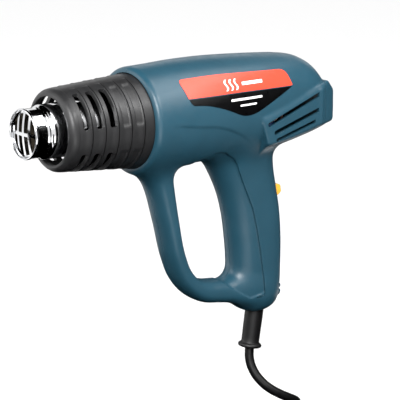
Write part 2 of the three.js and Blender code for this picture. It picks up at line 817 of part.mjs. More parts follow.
function heaterLead(y) {
  return lead([
    [112.4, y, -48.6],
    [106, y, -38],
    [95, y, -33],
    [78, y, -31.6],
    [60, y, -31.2],
    [42, y, -29],
    [33, y, -23.5],
    [26, y, -15],
    [20, y, -8],
    [HEATER_BASE_REAR_X + 0.5, y, HEATER_LEAD_Z],
  ]);
}

function motorLead(y) {
  return lead([
    [117, y, -48.4],
    [117.4, y, -39],
    [118.8, y, -31],
    [124.6, y, -24.4],
    [133.4, y, -19],
    [138, y, -14.6],
    [138.6, y, -11],
    [136.4, y, -7.4],
    [132.9, y, -7],
  ]);
}

// ---------------------------------------------------------------- cord, boot and plug

function turnedAboutZ(profile, sides = 16) {
  const turned = toGeometry(turnedAboutX(profile, sides));
  return turned.rotateY(-Math.PI / 2);
}

// The boot's own axis runs up its local +Z, from its free end to the collar inside the handle.
function cordBoot() {
  const bore = CORD_R + GAP;
  const collarR = 9;
  const collar = [[7.4, bore], [7.4, collarR], [4.8, collarR], [4.8, BOOT_R]];
  const lip = [[-24, 6.8], [-26.6, 6.9], [-27.2, 8.6], [-28.4, 9], [-29.6, 8.4]];
  const end = [[-BOOT_LENGTH, 6.5], [-BOOT_LENGTH, bore]];
  return turnedAboutZ([...collar, ...lip, ...end]);
}

function innerCable() {
  const topZ = 24;
  return turnedAboutZ([[-BOOT_LENGTH, 0], [topZ, 0], [topZ, CORD_R], [-BOOT_LENGTH, CORD_R]], 12);
}

function cordClamp() {
  const [frontPostX, rearPostX] = CLAMP_POSTS;
  const bar = box(frontPostX - 3.7, rearPostX + 2.9, CORD_R + GAP, 6.4, CLAMP_Z - 3, CLAMP_Z + 3);
  const holes = CLAMP_POSTS.map((x) => cylinderAlongY(x, CLAMP_Z, 1.5, 0, 10));
  return bar.subtract(joined(holes));
}

function clampScrew(x) {
  return joined([cylinderAlongY(x, CLAMP_Z, 2.6, 6.7, 8.4), cylinderAlongY(x, CLAMP_Z, 1.2, -4.6, 7)]);
}

function housingScrew([x, z]) {
  const head = cylinderAlongY(x, z, SCREW_R * 2, SCREW_SEAT_Y + GAP, SCREW_SEAT_Y + 2.6);
  return head.add(cylinderAlongY(x, z, SCREW_R, -7.7, SCREW_SEAT_Y + 1));
}

// The cord hangs from the boot, swings out and comes down beside the coil's third layer.
const LEAD_ROUTE = [
  [112.1, 0, -186.4],
  [111.5, -0.3, -190.4],
  [111.4, -1.3, -195.5],
  [112.6, -4.6, -204.2],
  [116, -9.1, -211.6],
  [121.6, -13.5, -217.8],
  [128.9, -16.5, -222.8],
  [137.1, -17, -227.3],
  [145.1, -14.8, -231.6],
  [151.7, -9.9, -236],
  [156.3, -3, -240.4],
  [158.3, 5.1, -244.6],
  [157.6, 13.7, -248.1],
  [154.1, 22.1, -250.5],
  [148.4, 29.4, -251.6],
];

// The end of the cord leaves the coil's outside on the floor and runs forward to the plug.
const TAIL_ROUTE = [
  [85.3, 47.5, FLOOR_Z + 8.4],
  [77, 43.9, FLOOR_Z + 10.3],
  [68.3, 40.7, FLOOR_Z + 11.7],
  [59.3, 38.7, FLOOR_Z + 12.7],
  [50, 38, FLOOR_Z + 13],
];

function cordCoil() {
  const ring = ringAboutX(FLOOR_Z, COIL_TOP_Z, COIL_INNER_R, COIL_OUTER_R, 32);
  return toGeometry(ring).rotateY(-Math.PI / 2).translate(COIL_CENTRE.x, COIL_CENTRE.y, 0);
}

// A two-pin plug made about its own axis: it lies flat, with its pins along -X from the face at x = 0.
const PLUG_POINT = new THREE.Vector3(4, 38, FLOOR_Z + 13);
const PIN_SPACING = 19;
const PIN_LENGTH = 19;
const PIN_R = 2.4;

function plugBody() {
  // x, half width, half height, squareness
  const stations = [
    [0, 17.6, 12.2, 4],
    [1.2, 18.5, 13, 4],
    [12, 18.5, 13, 4],
    [18, 16.5, 12.2, 3],
    [26, 12.5, 11, 2.5],
    [34, 9, 8.6, 2],
    [44, 6, 6, 2],
    [45, 5, 5, 2],
  ];
  return loft(stations.map(([x, halfWidth, halfHeight, squareness]) => (
    sectionRing([x, halfHeight, -halfHeight, halfWidth, squareness], 0, 16)
  )));
}

function plugPin(side) {
  const pin = new THREE.CylinderGeometry(PIN_R, PIN_R, PIN_LENGTH, 12).rotateZ(Math.PI / 2);
  return pin.translate(-GAP - PIN_LENGTH / 2, (side * PIN_SPACING) / 2, 0);
}

// ---------------------------------------------------------------- assembly

const gun = new THREE.Group();
gun.position.set(-GRIP_CENTRE.x, 0, -GRIP_CENTRE.z);

function addPiece(name, shape, material, parent = gun) {
  const geometry = shape.isBufferGeometry ? shape : toGeometry(shape);
  const mesh = new THREE.Mesh(geometry, material);
  mesh.name = name;
  parent.add(mesh);
  return mesh;
}

function addGroup(position, tilt = 0) {
  const group = new THREE.Group();
  group.position.copy(position);
  group.rotation.y = tilt;
  gun.add(group);
  return group;
}

const outer = outerBody();
const inner = innerBody();
addPiece('left_housing', housingHalf(-1, outer, inner), blueNylon);
addPiece('right_housing', housingHalf(1, outer, inner), blueNylon);
addPiece('tail_cap', tailCap(outer, inner), blueNylon);
addPiece('switch_panel', switchPanel(outer, inner), blueNylon);
addPiece('label_left', sideLabel(-1), labelRed);
addPiece('label_right', sideLabel(1), labelRed);

addPiece('nozzle_shroud', nozzleShroud(), blackNylon);
addPiece('heater_tube', heaterTube(), chrome);
addPiece('mouth_grille', mouthGrille(), chrome);
addPiece('mica_sleeve', micaSleeve(), mica);
addPiece('mica_core', micaCore(), mica);
addPiece('heating_coil', heatingCoil(), resistanceWire);
addPiece('heater_base', heaterBase(), ceramic);
addPiece('thermal_cutout', thermalCutout(), steel);

addPiece('fan_duct', fanDuct(), blackNylon);
addPiece('fan_impeller', fanImpeller(), blackNylon);
addPiece('motor_shaft', motorShaft(), steel);
addPiece('motor_armature', motorArmature(), copper);
addPiece('motor_can', motorCan(), steel);
addPiece('motor_magnet_1', motorMagnet(Math.PI / 2), magnetGrey);
addPiece('motor_magnet_2', motorMagnet(-Math.PI / 2), magnetGrey);
addPiece('motor_end_cap', motorEndCap(), whiteNylon);
addPiece('bearing_bush_1', bearingBush(MOTOR_FRONT_X + 0.2), brass);
addPiece('bearing_bush_2', bearingBush(MOTOR_REAR_X + 0.6), brass);
addPiece('motor_bracket', motorBracket(), steel);
addPiece('rectifier_board', rectifierBoard(), boardGreen);

const switchGroup = addGroup(SWITCH_POINT, SWITCH_TILT);
addPiece('switch_knob', switchKnob(), amberNylon, switchGroup);
addPiece('switch_body', switchBody(), blackNylon, switchGroup);
addPiece('suppression_capacitor', capacitor(), whiteNylon);
addPiece('supply_lead_live', supplyLead(1.5), wireBrown);
addPiece('supply_lead_neutral', supplyLead(-1.5), wireBlue);
addPiece('heater_lead_1', heaterLead(HEATER_LEAD_YS[0]), wireBrown);
addPiece('heater_lead_2', heaterLead(HEATER_LEAD_YS[1]), wireBlue);
addPiece('motor_lead_1', motorLead(-4), wireBrown);
addPiece('motor_lead_2', motorLead(4), wireBlue);

const bootGroup = addGroup(BOOT_POINT, BOOT_TILT);
addPiece('cord_boot', cordBoot(), blackRubber, bootGroup);
addPiece('inner_cable', innerCable(), blackRubber, bootGroup);
addPiece('cord_clamp', cordClamp(), blackNylon);
CLAMP_POSTS.forEach((x, i) => addPiece(`clamp_screw_${i + 1}`, clampScrew(x), steel));
HOUSING_SCREWS.forEach((place, i) => addPiece(`housing_screw_${i + 1}`, housingScrew(place), steel));

addPiece('power_cord_lead', tube(LEAD_ROUTE, CORD_R, 8, 14), blackRubber);
addPiece('power_cord_coil', cordCoil(), blackRubber);
addPiece('power_cord_tail', tube(TAIL_ROUTE, CORD_R, 8, 5), blackRubber);
const plugGroup = addGroup(PLUG_POINT);
addPiece('plug_body', plugBody(), blackRubber, plugGroup);
addPiece('plug_pin_1', plugPin(-1), brass, plugGroup);
addPiece('plug_pin_2', plugPin(1), brass, plugGroup);

export default gun;
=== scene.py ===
"""The looks of the heat gun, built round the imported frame.

The moulded housings are one smooth body given by a distance formula, meshed once for each shell and
then cut into halves, tail cap and switch panel. The shroud, nozzle and boot are turned. The cord is
one curve at its real length. Shapes are drawn in millimetres in the barrel frame: X rearward from the
joint between the black shroud and the blue housing, Y to the tool's right, Z up from the barrel's axis.
"""
from math import atan2, ceil, copysign, cos, pi, radians, sin, sqrt

import bmesh
import bpy
import numpy as np
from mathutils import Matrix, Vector


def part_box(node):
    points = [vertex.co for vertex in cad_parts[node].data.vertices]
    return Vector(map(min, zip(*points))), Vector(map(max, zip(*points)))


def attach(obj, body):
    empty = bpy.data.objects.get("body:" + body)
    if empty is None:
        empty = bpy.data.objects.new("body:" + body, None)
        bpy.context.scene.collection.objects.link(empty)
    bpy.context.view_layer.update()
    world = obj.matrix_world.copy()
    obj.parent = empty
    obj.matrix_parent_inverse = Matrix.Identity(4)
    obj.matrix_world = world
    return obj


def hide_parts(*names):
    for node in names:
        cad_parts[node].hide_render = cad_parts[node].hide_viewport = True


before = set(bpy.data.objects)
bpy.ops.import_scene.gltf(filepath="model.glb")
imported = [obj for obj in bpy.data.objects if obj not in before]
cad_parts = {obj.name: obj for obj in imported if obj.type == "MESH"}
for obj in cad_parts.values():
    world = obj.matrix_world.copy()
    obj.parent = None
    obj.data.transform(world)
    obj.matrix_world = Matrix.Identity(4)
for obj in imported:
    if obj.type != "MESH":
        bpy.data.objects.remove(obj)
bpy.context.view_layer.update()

MM = 0.001
WELD_DISTANCE = 1e-7

# ---- the barrel frame

HOUSING_LOW, HOUSING_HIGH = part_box("left_housing")
MOTOR_LOW, MOTOR_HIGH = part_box("motor_can")
ORIGIN = Vector((HOUSING_LOW.x, 0.0, (MOTOR_LOW.z + MOTOR_HIGH.z) / 2))


def place(x, y, z):
    """A point of the barrel frame, in the row frame in metres."""
    return ORIGIN + Vector((x, y, z)) * MM


def local_mm(point):
    """A point of the row frame, in the barrel frame in millimetres."""
    return (Vector(point) - ORIGIN) / MM


GAP = 0.3  # between neighbouring pieces, as in the CAD
WALL = 2.5
TAIL_X = local_mm(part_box("tail_cap")[1]).x
CAP_JOINT_X = local_mm(HOUSING_HIGH).x
FOOT_Z = local_mm(HOUSING_LOW).z
FLOOR_Z = local_mm(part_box("power_cord_coil")[0]).z
NOZZLE_X = local_mm(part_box("heater_tube")[0]).x
SHROUD_X = local_mm(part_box("nozzle_shroud")[0]).x
BOOT_POINT = (116.8, 0.0, -156.3)
BOOT_TILT = 0.156
SWITCH_POINT = (132.4, 0.0, -66.5)
SWITCH_TILT = -0.192


def link(name, data):
    """A new object of the scene."""
    obj = bpy.data.objects.new(name, data)
    bpy.context.collection.objects.link(obj)
    return obj


def aim_at(obj, at, target):
    """Puts a camera or a lamp at a point of the barrel frame and turns it to another."""
    obj.location = place(*at)
    obj.rotation_euler = (place(*target) - obj.location).to_track_quat("-Z", "Y").to_euler()


# ---- camera

CAMERA_AT = (-643.4, -909.5, 196.6)
CAMERA_AIM = (63.4, -1.5, -64.8)
CAMERA_LENS = 146.6


def make_camera():
    data = bpy.data.cameras.new("camera")
    data.lens = CAMERA_LENS
    data.sensor_width = 36
    data.clip_start = 0.05
    data.clip_end = 20
    camera = link("camera", data)
    aim_at(camera, CAMERA_AT, CAMERA_AIM)
    bpy.context.scene.camera = camera


# ---- small helpers

def smooth_curve(xs, ys):
    """A smooth function through the points (cubic Hermite)."""
    xs = np.asarray(xs, float)
    ys = np.asarray(ys, float)
    slopes = np.gradient(ys, xs)

    def value(x):
        x = np.clip(x, xs[0], xs[-1])
        i = np.clip(np.searchsorted(xs, x) - 1, 0, len(xs) - 2)
        width = xs[i + 1] - xs[i]
        t = (x - xs[i]) / width
        rise = t * t * (3 - 2 * t) * (ys[i + 1] - ys[i])
        bend = t * (1 - t) * width * ((1 - t) * slopes[i] - t * slopes[i + 1])
        return ys[i] + rise + bend

    return value


def lengths(points):
    """How far along a line of points each one is."""
    return np.concatenate([[0], np.cumsum(np.linalg.norm(np.diff(points, axis=0), axis=1))])


def smooth_path(points, count):
    """count points along a smooth curve through the given ones, evenly spaced."""
    points = np.asarray(points, float)
    chord = lengths(points)
    fine = np.linspace(0, chord[-1], count * 8)
    dense = np.stack([smooth_curve(chord, column)(fine) for column in points.T], axis=1)
    length = lengths(dense)
    even = np.linspace(0, length[-1], count)
    return np.stack([np.interp(even, length, column) for column in dense.T], axis=1)


def step_up(value, width):
    """0 below, 1 above, smooth over the width."""
    t = np.clip(value / width + 0.5, 0, 1)
    return t * t * (3 - 2 * t)


def mesh_object(name, vertices_mm, faces, smooth=True):
    """A mesh object from barrel-frame millimetres."""
    mesh = bpy.data.meshes.new(name)
    vertices = np.asarray(vertices_mm, float) * MM + np.array(ORIGIN)
    mesh.from_pydata([tuple(v) for v in vertices], [], [tuple(f) for f in faces])
    mesh.validate()
    if smooth:
        mesh.shade_smooth()
    return link(name, mesh)


def recalculate(obj, weld=False):
    """Turns every face of a closed mesh outward; weld first joins points that coincide."""
    work = bmesh.new()
    work.from_mesh(obj.data)
    if weld:
        bmesh.ops.remove_doubles(work, verts=work.verts, dist=WELD_DISTANCE)
    bmesh.ops.recalc_face_normals(work, faces=work.faces)
    work.to_mesh(obj.data)
    work.free()


def combine(obj, tool, operation):
    """Cuts, joins or intersects obj with tool, which is then removed."""
    modifier = obj.modifiers.new("boolean", "BOOLEAN")
    modifier.operation = operation
    modifier.solver = "MANIFOLD"
    modifier.object = tool
    bpy.context.view_layer.update()
    depsgraph = bpy.context.evaluated_depsgraph_get()
    mesh = bpy.data.meshes.new_from_object(obj.evaluated_get(depsgraph))
    obj.modifiers.clear()
    old = obj.data
    obj.data = mesh
    bpy.data.meshes.remove(old)
    bpy.data.objects.remove(tool)


def cut(obj, *tools):
    for tool in tools:
        combine(obj, tool, "DIFFERENCE")


def solid_tool(vertices, faces):
    """A closed solid to combine with a piece."""
    tool = mesh_object("tool", vertices, faces, smooth=False)
    recalculate(tool)
    return tool


BOX_FACES = [(0, 1, 3, 2), (4, 6, 7, 5), (0, 4, 5, 1), (2, 3, 7, 6), (0, 2, 6, 4), (1, 5, 7, 3)]


def box_corners(low, high):
    xs, ys, zs = zip(low, high)
    return [(x, y, z) for x in xs for y in ys for z in zs]


def box_tool(low, high):
    return solid_tool(box_corners(low, high), BOX_FACES)


def side_faces(count):
    """Quads between two loops of equal count."""
    return [(k, (k + 1) % count, (k + 1) % count + count, k + count) for k in range(count)]


def prism_between(first, second):
    """A prism between two flat loops of points."""
    count = len(first)
    ends = [tuple(range(count)), tuple(range(2 * count - 1, count - 1, -1))]
    return solid_tool(first + second, ends + side_faces(count))


def prism_tool(outline, y0, y1):
    """A prism along Y from an outline of (x, z) points."""
    return prism_between([(x, y0, z) for x, z in outline], [(x, y1, z) for x, z in outline])


def domed_tool(first, second, middles):
    """A solid between two loops, each end a fan about its own middle point."""
    count = len(first)
    faces = side_faces(count)
    for a, b, c, d in side_faces(count):
        faces += [(a, 2 * count, b), (d, c, 2 * count + 1)]
    return solid_tool(first + second + middles, faces)


def grid_faces(rings, count, closed=True):
    """Quads of a closed row of rings of equal count, each ring closed on itself or open."""
    faces = []
    for k in range(rings):
        n = (k + 1) % rings
        for i in range(count if closed else count - 1):
            j = (i + 1) % count
            faces.append((k * count + i, k * count + j, n * count + j, n * count + i))
    return faces


def crisp(obj, degrees=32):
    """Smooth shading with sharp edges where faces meet at more than the angle."""
    obj.data.shade_smooth()
    obj.data.set_sharp_from_angle(angle=radians(degrees))
    return obj


def superellipse(half_u, half_v, squareness, count):
    points = []
    for k in range(count):
        angle = 2 * pi * k / count
        u, v = (copysign(abs(c) ** (2 / squareness), c) for c in (cos(angle), sin(angle)))
        points.append((half_u * u, half_v * v))
    return points


def rounded(corners, steps=4):
    """A closed outline whose corners (u, v, radius) are rounded."""
    points = []
    count = len(corners)
    for k in range(count):
        corner = Vector(corners[k][:2])
        before = Vector(corners[k - 1][:2]) - corner
        after = Vector(corners[(k + 1) % count][:2]) - corner
        reach = min(corners[k][2], 0.48 * before.length, 0.48 * after.length)
        start = corner + before.normalized() * reach
        end = corner + after.normalized() * reach
        for i in range(steps + 1):
            t = i / steps
            points.append(tuple(start * (1 - t) ** 2 + corner * 2 * t * (1 - t) + end * t ** 2))
    return points


def loft(name, loops):
    """A skin through loops of equal count, with a flat face at each end."""
    count = len(loops[0])
    last = (len(loops) - 1) * count
    vertices = [point for loop in loops for point in loop]
    faces = [tuple(range(count)), tuple(range(last, last + count))]
    for first in range(0, last, count):
        faces += [tuple(first + corner for corner in face) for face in side_faces(count)]
    obj = mesh_object(name, vertices, faces)
    recalculate(obj)
    return obj


def tilted(points, origin, tilt):
    """Points drawn about a leaning Z axis, in the barrel frame."""
    c, s = cos(tilt), sin(tilt)
    ox, oy, oz = origin
    return [(ox + x * c + z * s, oy + y, oz - x * s + z * c) for x, y, z in points]


def turned(name, profile, origin=(0, 0, 0), axis="X", tilt=0.0, segments=96):
    """A turned piece from (along, radius) points, closed on itself or on its axis."""
    on_axis = profile[0][1] == 0 and profile[-1][1] == 0
    vertices = []
    for k in range(segments):
        angle = 2 * pi * k / segments
        for along, radius in profile:
            u = radius * cos(angle)
            v = radius * sin(angle)
            vertices.append((along, u, v) if axis == "X" else (u, v, along))
    faces = grid_faces(segments, len(profile), closed=not on_axis)
    obj = mesh_object(name, tilted(vertices, origin, tilt), faces)
    recalculate(obj, weld=True)
    return crisp(obj, 38)


def copy_of(obj, name):
    return link(name, obj.data.copy())


def mirrored(obj, name):
    """The piece seen in the plane Y = 0."""
    other = copy_of(obj, name)
    for vertex in other.data.vertices:
        vertex.co.y = -vertex.co.y
    other.data.flip_normals()
    return other


# ---- materials

PATCH_SCALE = 60
GLOSS_SCALE = 220
GRAIN_HEIGHT = 0.05


def linear(value):
    """A display value 0..255 as a linear one."""
    value /= 255
    return value / 12.92 if value <= 0.04045 else ((value + 0.055) / 1.055) ** 2.4


def set_inputs(node, inputs):
    """Gives each named input a value, or joins it to another node's output."""
    for name, value in inputs.items():
        if isinstance(value, bpy.types.NodeSocket):
            node.id_data.links.new(value, node.inputs[name])
        else:
            node.inputs[name].default_value = value


def add_node(tree, kind, output, **inputs):
    """Adds a node and gives its output. Input names have underscores for spaces."""
    node = tree.nodes.new("ShaderNode" + kind)
    set_inputs(node, {name.replace("_", " "): value for name, value in inputs.items()})
    return node.outputs[output]


def blank_material(name):
    made = bpy.data.materials.new(name)
    made.use_nodes = True
    return made, made.node_tree, made.node_tree.nodes["Principled BSDF"]


def noise(tree, scale, detail=3):
    coordinates = add_node(tree, "TexCoord", "Object")
    return add_node(tree, "TexNoise", "Fac", Scale=scale, Detail=detail, Vector=coordinates)


def spread(tree, value, low, high):
    """Maps a noise's middle range to low..high."""
    limits = {"From_Min": 0.3, "From_Max": 0.7, "To_Min": low, "To_Max": high}
    return add_node(tree, "MapRange", "Result", Value=value, **limits)


def material(name, display, roughness, metallic=0.0, grain=0.0, grain_scale=2500, mottle=0.06, wear=0.05,
             edge=0.0, coat=0.0):
    """A surface with fine grain, soft patches of colour and uneven gloss. The edge is in millimetres."""
    made, tree, shader = blank_material(name)
    color = [linear(value) for value in display]
    tint = tree.nodes.new("ShaderNodeMix")
    tint.data_type = "RGBA"
    set_inputs(tint, {
        "A": [c * (1 - mottle) for c in color] + [1],
        "B": [min(c * (1 + mottle), 1) for c in color] + [1],
        "Factor": spread(tree, noise(tree, PATCH_SCALE), 0, 1),
    })
    set_inputs(shader, {
        "Metallic": metallic,
        "Coat Weight": coat,
        "Coat Roughness": 0.2,
        "Base Color": tint.outputs["Result"],
        "Roughness": spread(tree, noise(tree, GLOSS_SCALE), roughness - wear, roughness + wear),
    })
    surface = {}
    if edge:
        bevel = tree.nodes.new("ShaderNodeBevel")
        bevel.samples = 4
        bevel.inputs["Radius"].default_value = edge * MM
        surface["Normal"] = bevel.outputs["Normal"]
    if grain:
        height = noise(tree, grain_scale, 2)
        surface["Normal"] = add_node(
            tree, "Bump", "Normal", Strength=grain, Distance=GRAIN_HEIGHT * MM, Height=height, **surface)
    set_inputs(shader, surface)
    return made


MATERIALS = {
    "housing": material("housing_nylon", (31, 67, 82), 0.36, grain=0.35, mottle=0.05, edge=0.3),
    "shroud": material("shroud_nylon", (30, 30, 31), 0.40, grain=0.4, mottle=0.05, edge=0.3),
    "chrome": material("nozzle_chrome", (228, 229, 231), 0.09, 1.0, mottle=0.03, wear=0.03),
    "steel": material("plain_steel", (160, 162, 166), 0.33, 1.0, grain=0.2, grain_scale=900),
    "mica": material("mica_sheet", (70, 62, 50), 0.65, grain=0.4, grain_scale=500, mottle=0.25),
    "ceramic": material("white_ceramic", (228, 222, 208), 0.5, grain=0.3, mottle=0.05),
    "element": material("resistance_wire", (120, 108, 100), 0.38, 1.0, mottle=0.25, wear=0.1),
    "amber": material("amber_nylon", (236, 172, 58), 0.32, grain=0.2, mottle=0.04, edge=0.25),
    "rubber": material("black_rubber", (10, 10, 11), 0.46, grain=0.5, grain_scale=1800, edge=0.3),
    "cord_jacket": material("cord_jacket", (10, 10, 11), 0.40, grain=0.3, grain_scale=1200, mottle=0.1),
    "strap": material("woven_strap", (34, 34, 36), 0.75, grain=1.0, grain_scale=1500, mottle=0.3),
    "copper": material("enamelled_copper", (178, 98, 58), 0.3, 1.0, 0.6, 900, mottle=0.2),
    "magnet": material("ferrite_magnet", (66, 67, 70), 0.6, 0.2, 0.6, 1500, mottle=0.1),
    "board": material("circuit_board", (40, 104, 64), 0.4, mottle=0.15, coat=0.4),
    "label_red": material("label_red", (226, 66, 44), 0.34, mottle=0.02, wear=0.03),
    "label_black": material("label_black", (3, 3, 4), 0.3, mottle=0.1, wear=0.03),
    "label_white": material("label_white", (240, 240, 240), 0.35, mottle=0.02, wear=0.03),
    "white_nylon": material("white_nylon", (226, 223, 214), 0.42, grain=0.3, mottle=0.04),
    "brown_wire": material("brown_wire", (98, 58, 34), 0.42, mottle=0.1),
    "blue_wire": material("blue_wire", (44, 92, 176), 0.42, mottle=0.1),
    "brass": material("plated_brass", (206, 180, 112), 0.22, 1.0, mottle=0.08, wear=0.08),
}


def finish(obj, look, body="gun"):
    """Gives a piece its material and its body."""
    obj.data.materials.clear()
    obj.data.materials.append(MATERIALS[look])
    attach(obj, body)


NODE_LOOKS = {
    "mica": ["mica_sleeve", "mica_core"],
    "ceramic": ["heater_base"],
    "element": ["heating_coil"],
    "steel": ["thermal_cutout", "motor_shaft", "motor_can", "motor_bracket", "clamp_screw_1",
              "clamp_screw_2"],
    "shroud": ["fan_duct", "fan_impeller", "switch_body", "cord_clamp"],
    "copper": ["motor_armature"],
    "magnet": ["motor_magnet_1", "motor_magnet_2"],
    "brass": ["bearing_bush_1", "bearing_bush_2"],
    "white_nylon": ["motor_end_cap", "suppression_capacitor"],
    "board": ["rectifier_board"],
    "brown_wire": ["supply_lead_live", "heater_lead_1", "motor_lead_1"],
    "blue_wire": ["supply_lead_neutral", "heater_lead_2", "motor_lead_2"],
    "cord_jacket": ["inner_cable"],
}


def dress_nodes():
    """The CAD pieces that stay get their real finish."""
    for look, nodes in NODE_LOOKS.items():
        for node in nodes:
            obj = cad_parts[node]
            obj.data.materials.clear()
            obj.data.materials.append(MATERIALS[look])


# ---- power cord

CORD_R = 3.5
LEAD_ROUTE = [
    (112.1, 0, -186.3), (111.4, -1.2, -195.5), (112.6, -4.6, -204.2), (116, -9.1, -211.6),
    (121.6, -13.5, -217.8), (128.9, -16.5, -222.8), (137.1, -17, -227.3), (145.1, -14.8, -231.6),
    (151.7, -9.9, -236), (156.3, -3, -240.4), (158.3, 5.1, -244.6), (157.6, 13.7, -248.1),
    (154.1, 22.1, -250.5),
]
TAIL_ROUTE = [
    (112.2, 52.4, -273.1), (103, 52.1, -272), (94, 50.5, -270.4), (85.3, 47.5, -268.6),
    (77, 43.9, -266.7), (68.3, 40.7, -265.3), (59.3, 38.7, -264.3), (50, 38, -264),
]
COIL_CENTRE = (118.0, 6.0)
COIL_START = 37.6
COIL_END = 7 * 360 + 90 - COIL_START
INNER_TURN = 31.5
PITCH = 2 * CORD_R
LAYER_1 = FLOOR_Z + CORD_R

# Where along the winding, in degrees, the cord changes to another turn or another layer.
COIL_RADIUS_STEPS = [(315, 435, 1), (960, 1080, -1), (1320, 1440, -1), (1920, 2040, 1), (2280, 2400, 1)]
COIL_LAYER_STEPS = [(660, 750), (1620, 1710)]
LANDING = 90
LANDING_DROP = 7.9


def eased(value, start, end):
    return float(step_up(value - (start + end) / 2, end - start))


def round_coil(radius, angle, z, shift=0):
    """A point at an angle round the coil, shifted along the winding."""
    x = COIL_CENTRE[0] + radius * cos(angle) - shift * sin(angle)
    y = COIL_CENTRE[1] + radius * sin(angle) + shift * cos(angle)
    return x, y, z


def coil_points():
    """Seven turns in three layers, from the top layer inward, down and outward again."""
    points = []
    for degrees in range(0, int(COIL_END) + 1, 12):
        radius = INNER_TURN + PITCH
        for start, end, sign in COIL_RADIUS_STEPS:
            radius += sign * PITCH * eased(degrees, start, end)
        z = LAYER_1 + 2 * PITCH + LANDING_DROP * (1 - eased(degrees, 0, LANDING))
        for start, end in COIL_LAYER_STEPS:
            z -= PITCH * eased(degrees, start, end)
        points.append(round_coil(radius, radians(COIL_START + degrees), z))
    return points


def make_cord():
    curve = bpy.data.curves.new("power_cord", "CURVE")
    curve.dimensions = "3D"
    curve.bevel_depth = CORD_R * MM
    curve.bevel_resolution = 5
    curve.resolution_u = 6
    spline = curve.splines.new("BEZIER")
    points = LEAD_ROUTE + coil_points() + TAIL_ROUTE
    spline.bezier_points.add(len(points) - 1)
    for bezier, point in zip(spline.bezier_points, points):
        bezier.co = place(*point)
        bezier.handle_left_type = "AUTO"
        bezier.handle_right_type = "AUTO"
    cord = link("power_cord", curve)
    finish(cord, "cord_jacket")
    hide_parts("power_cord_lead", "power_cord_coil", "power_cord_tail")
    return cord


def make_tie():
    """A strap round the coil, over its three layers and under the lowest."""
    angle = radians(205)
    low = FLOOR_Z + 0.1
    top = FLOOR_Z + 6 * CORD_R - 0.2
    shoulder = FLOOR_Z + 4 * CORD_R + 0.4
    outline = [(28.2, low, 3), (48.8, low, 3), (48.8, top, 3), (35, top, 3), (28.2, shoulder, 3)]
    ring = rounded(outline, steps=5)
    vertices = []
    for r, z in ring:
        inner = (28.9 + (r - 28.2) * 0.935, low + 0.7 + (z - low) * 0.935)
        for radius, height, shift in ((r, z, -5), (*inner, -5), (*inner, 5), (r, z, 5)):
            vertices.append(round_coil(radius, angle, height, shift))
    tie = mesh_object("cord_tie", vertices, grid_faces(len(ring), 4))
    recalculate(tie)
    crisp(tie)
    finish(tie, "strap")
    return tie


PLUG_POINT = (4.0, 38.0, FLOOR_Z + 13)
PLUG_LENGTH = 45.0


def make_plug():
    """A moulded two-pin plug with a waisted grip and a ribbed relief."""
    stations = [0, 0.8, 2.5, 8, 12, 15, 18, 22, 26, 30, 34]
    half_width = smooth_curve(stations, [17, 18, 18.4, 18.4, 18.2, 17.4, 15.9, 13.8, 12, 10.3, 9])
    half_height = smooth_curve(stations, [11.8, 12.6, 12.9, 12.9, 12.8, 12.5, 12, 11.2, 10.4, 9.6, 8.6])
    squareness = smooth_curve(stations, [4, 4, 4, 4, 3.8, 3.4, 3, 2.6, 2.4, 2.2, 2])
    rings = [(x, half_width(x), half_height(x), squareness(x)) for x in np.linspace(0, 34, 48)]
    for rib in range(4):
        x = 34.4 + 2.6 * rib
        radius = 8.4 - 0.75 * rib
        for along, rise in ((0, -1.2), (0.5, 0), (1.5, -0.1), (2.0, -1.3)):
            rings.append((x + along, radius + rise, radius + rise, 2))
    rings.append((PLUG_LENGTH, 4.2, 4.2, 2))
    loops = []
    for x, wide, high, square in rings:
        loop = superellipse(wide, high, square, 64)
        loops.append([(PLUG_POINT[0] + x, PLUG_POINT[1] + u, PLUG_POINT[2] + v) for u, v in loop])
    plug = loft("plug", loops)
    crisp(plug, 40)
    finish(plug, "rubber")
    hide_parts("plug_body")
    pins = []
    profile = [(-19.2, 0), (-19.2, 1.2), (-18.6, 1.9), (-17.5, 2.3), (-16.5, 2.4), (-GAP, 2.4), (-GAP, 0)]
    for side, node in ((-1, "plug_pin_1"), (1, "plug_pin_2")):
        y = PLUG_POINT[1] + side * 9.5
        pin = turned(node + "_turned", profile, (PLUG_POINT[0], y, PLUG_POINT[2]), segments=32)
        finish(pin, "brass")
        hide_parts(node)
        pins.append(pin)
    return [plug, *pins]


# ---- housing surface
# Every function takes arrays of barrel-frame points and gives a distance in millimetres: negative inside.

def smooth_min(a, b, radius):
    h = np.maximum(radius - np.abs(a - b), 0) / radius
    return np.minimum(a, b) - h * h * radius / 4


def smooth_max(a, b, radius):
    return -smooth_min(-a, -b, radius)


def section(u, v, half_u, half_v, squareness):
    """Distance to a superellipse, measured along the ray from its middle."""
    reach = np.hypot(u, v) + 1e-6
    level = (np.abs(u / half_u) ** squareness + np.abs(v / half_v) ** squareness) ** (1 / squareness)
    return reach * (1 - 1 / np.maximum(level, 1e-3))


BARREL_X = [-6, 0, 18, 41, 64, 98, 120, 135, 150, 160, 168, 176, 180]


def along_barrel(values):
    return smooth_curve(BARREL_X, values)


BARREL_TOP = along_barrel([37.2, 37.4, 38.1, 39.3, 39.7, 38.8, 37.7, 36.6, 33.6, 27.5, 18, 9, 4])
BARREL_BOTTOM = along_barrel([-37.2, -37.4, -37.4, -37, -36.5, -36, -33.5, -31, -28, -25.5, -23, -20, -19])
BARREL_HALF_WIDTH = along_barrel([37.2, 37.4, 37.6, 37.7, 37.2, 34.2, 31.6, 29.3, 26.8, 25, 23, 20, 18])
BARREL_SQUARENESS = smooth_curve([-6, 0, 40, 98, 150, 180], [2, 2, 2.1, 2.25, 2.4, 2.8])

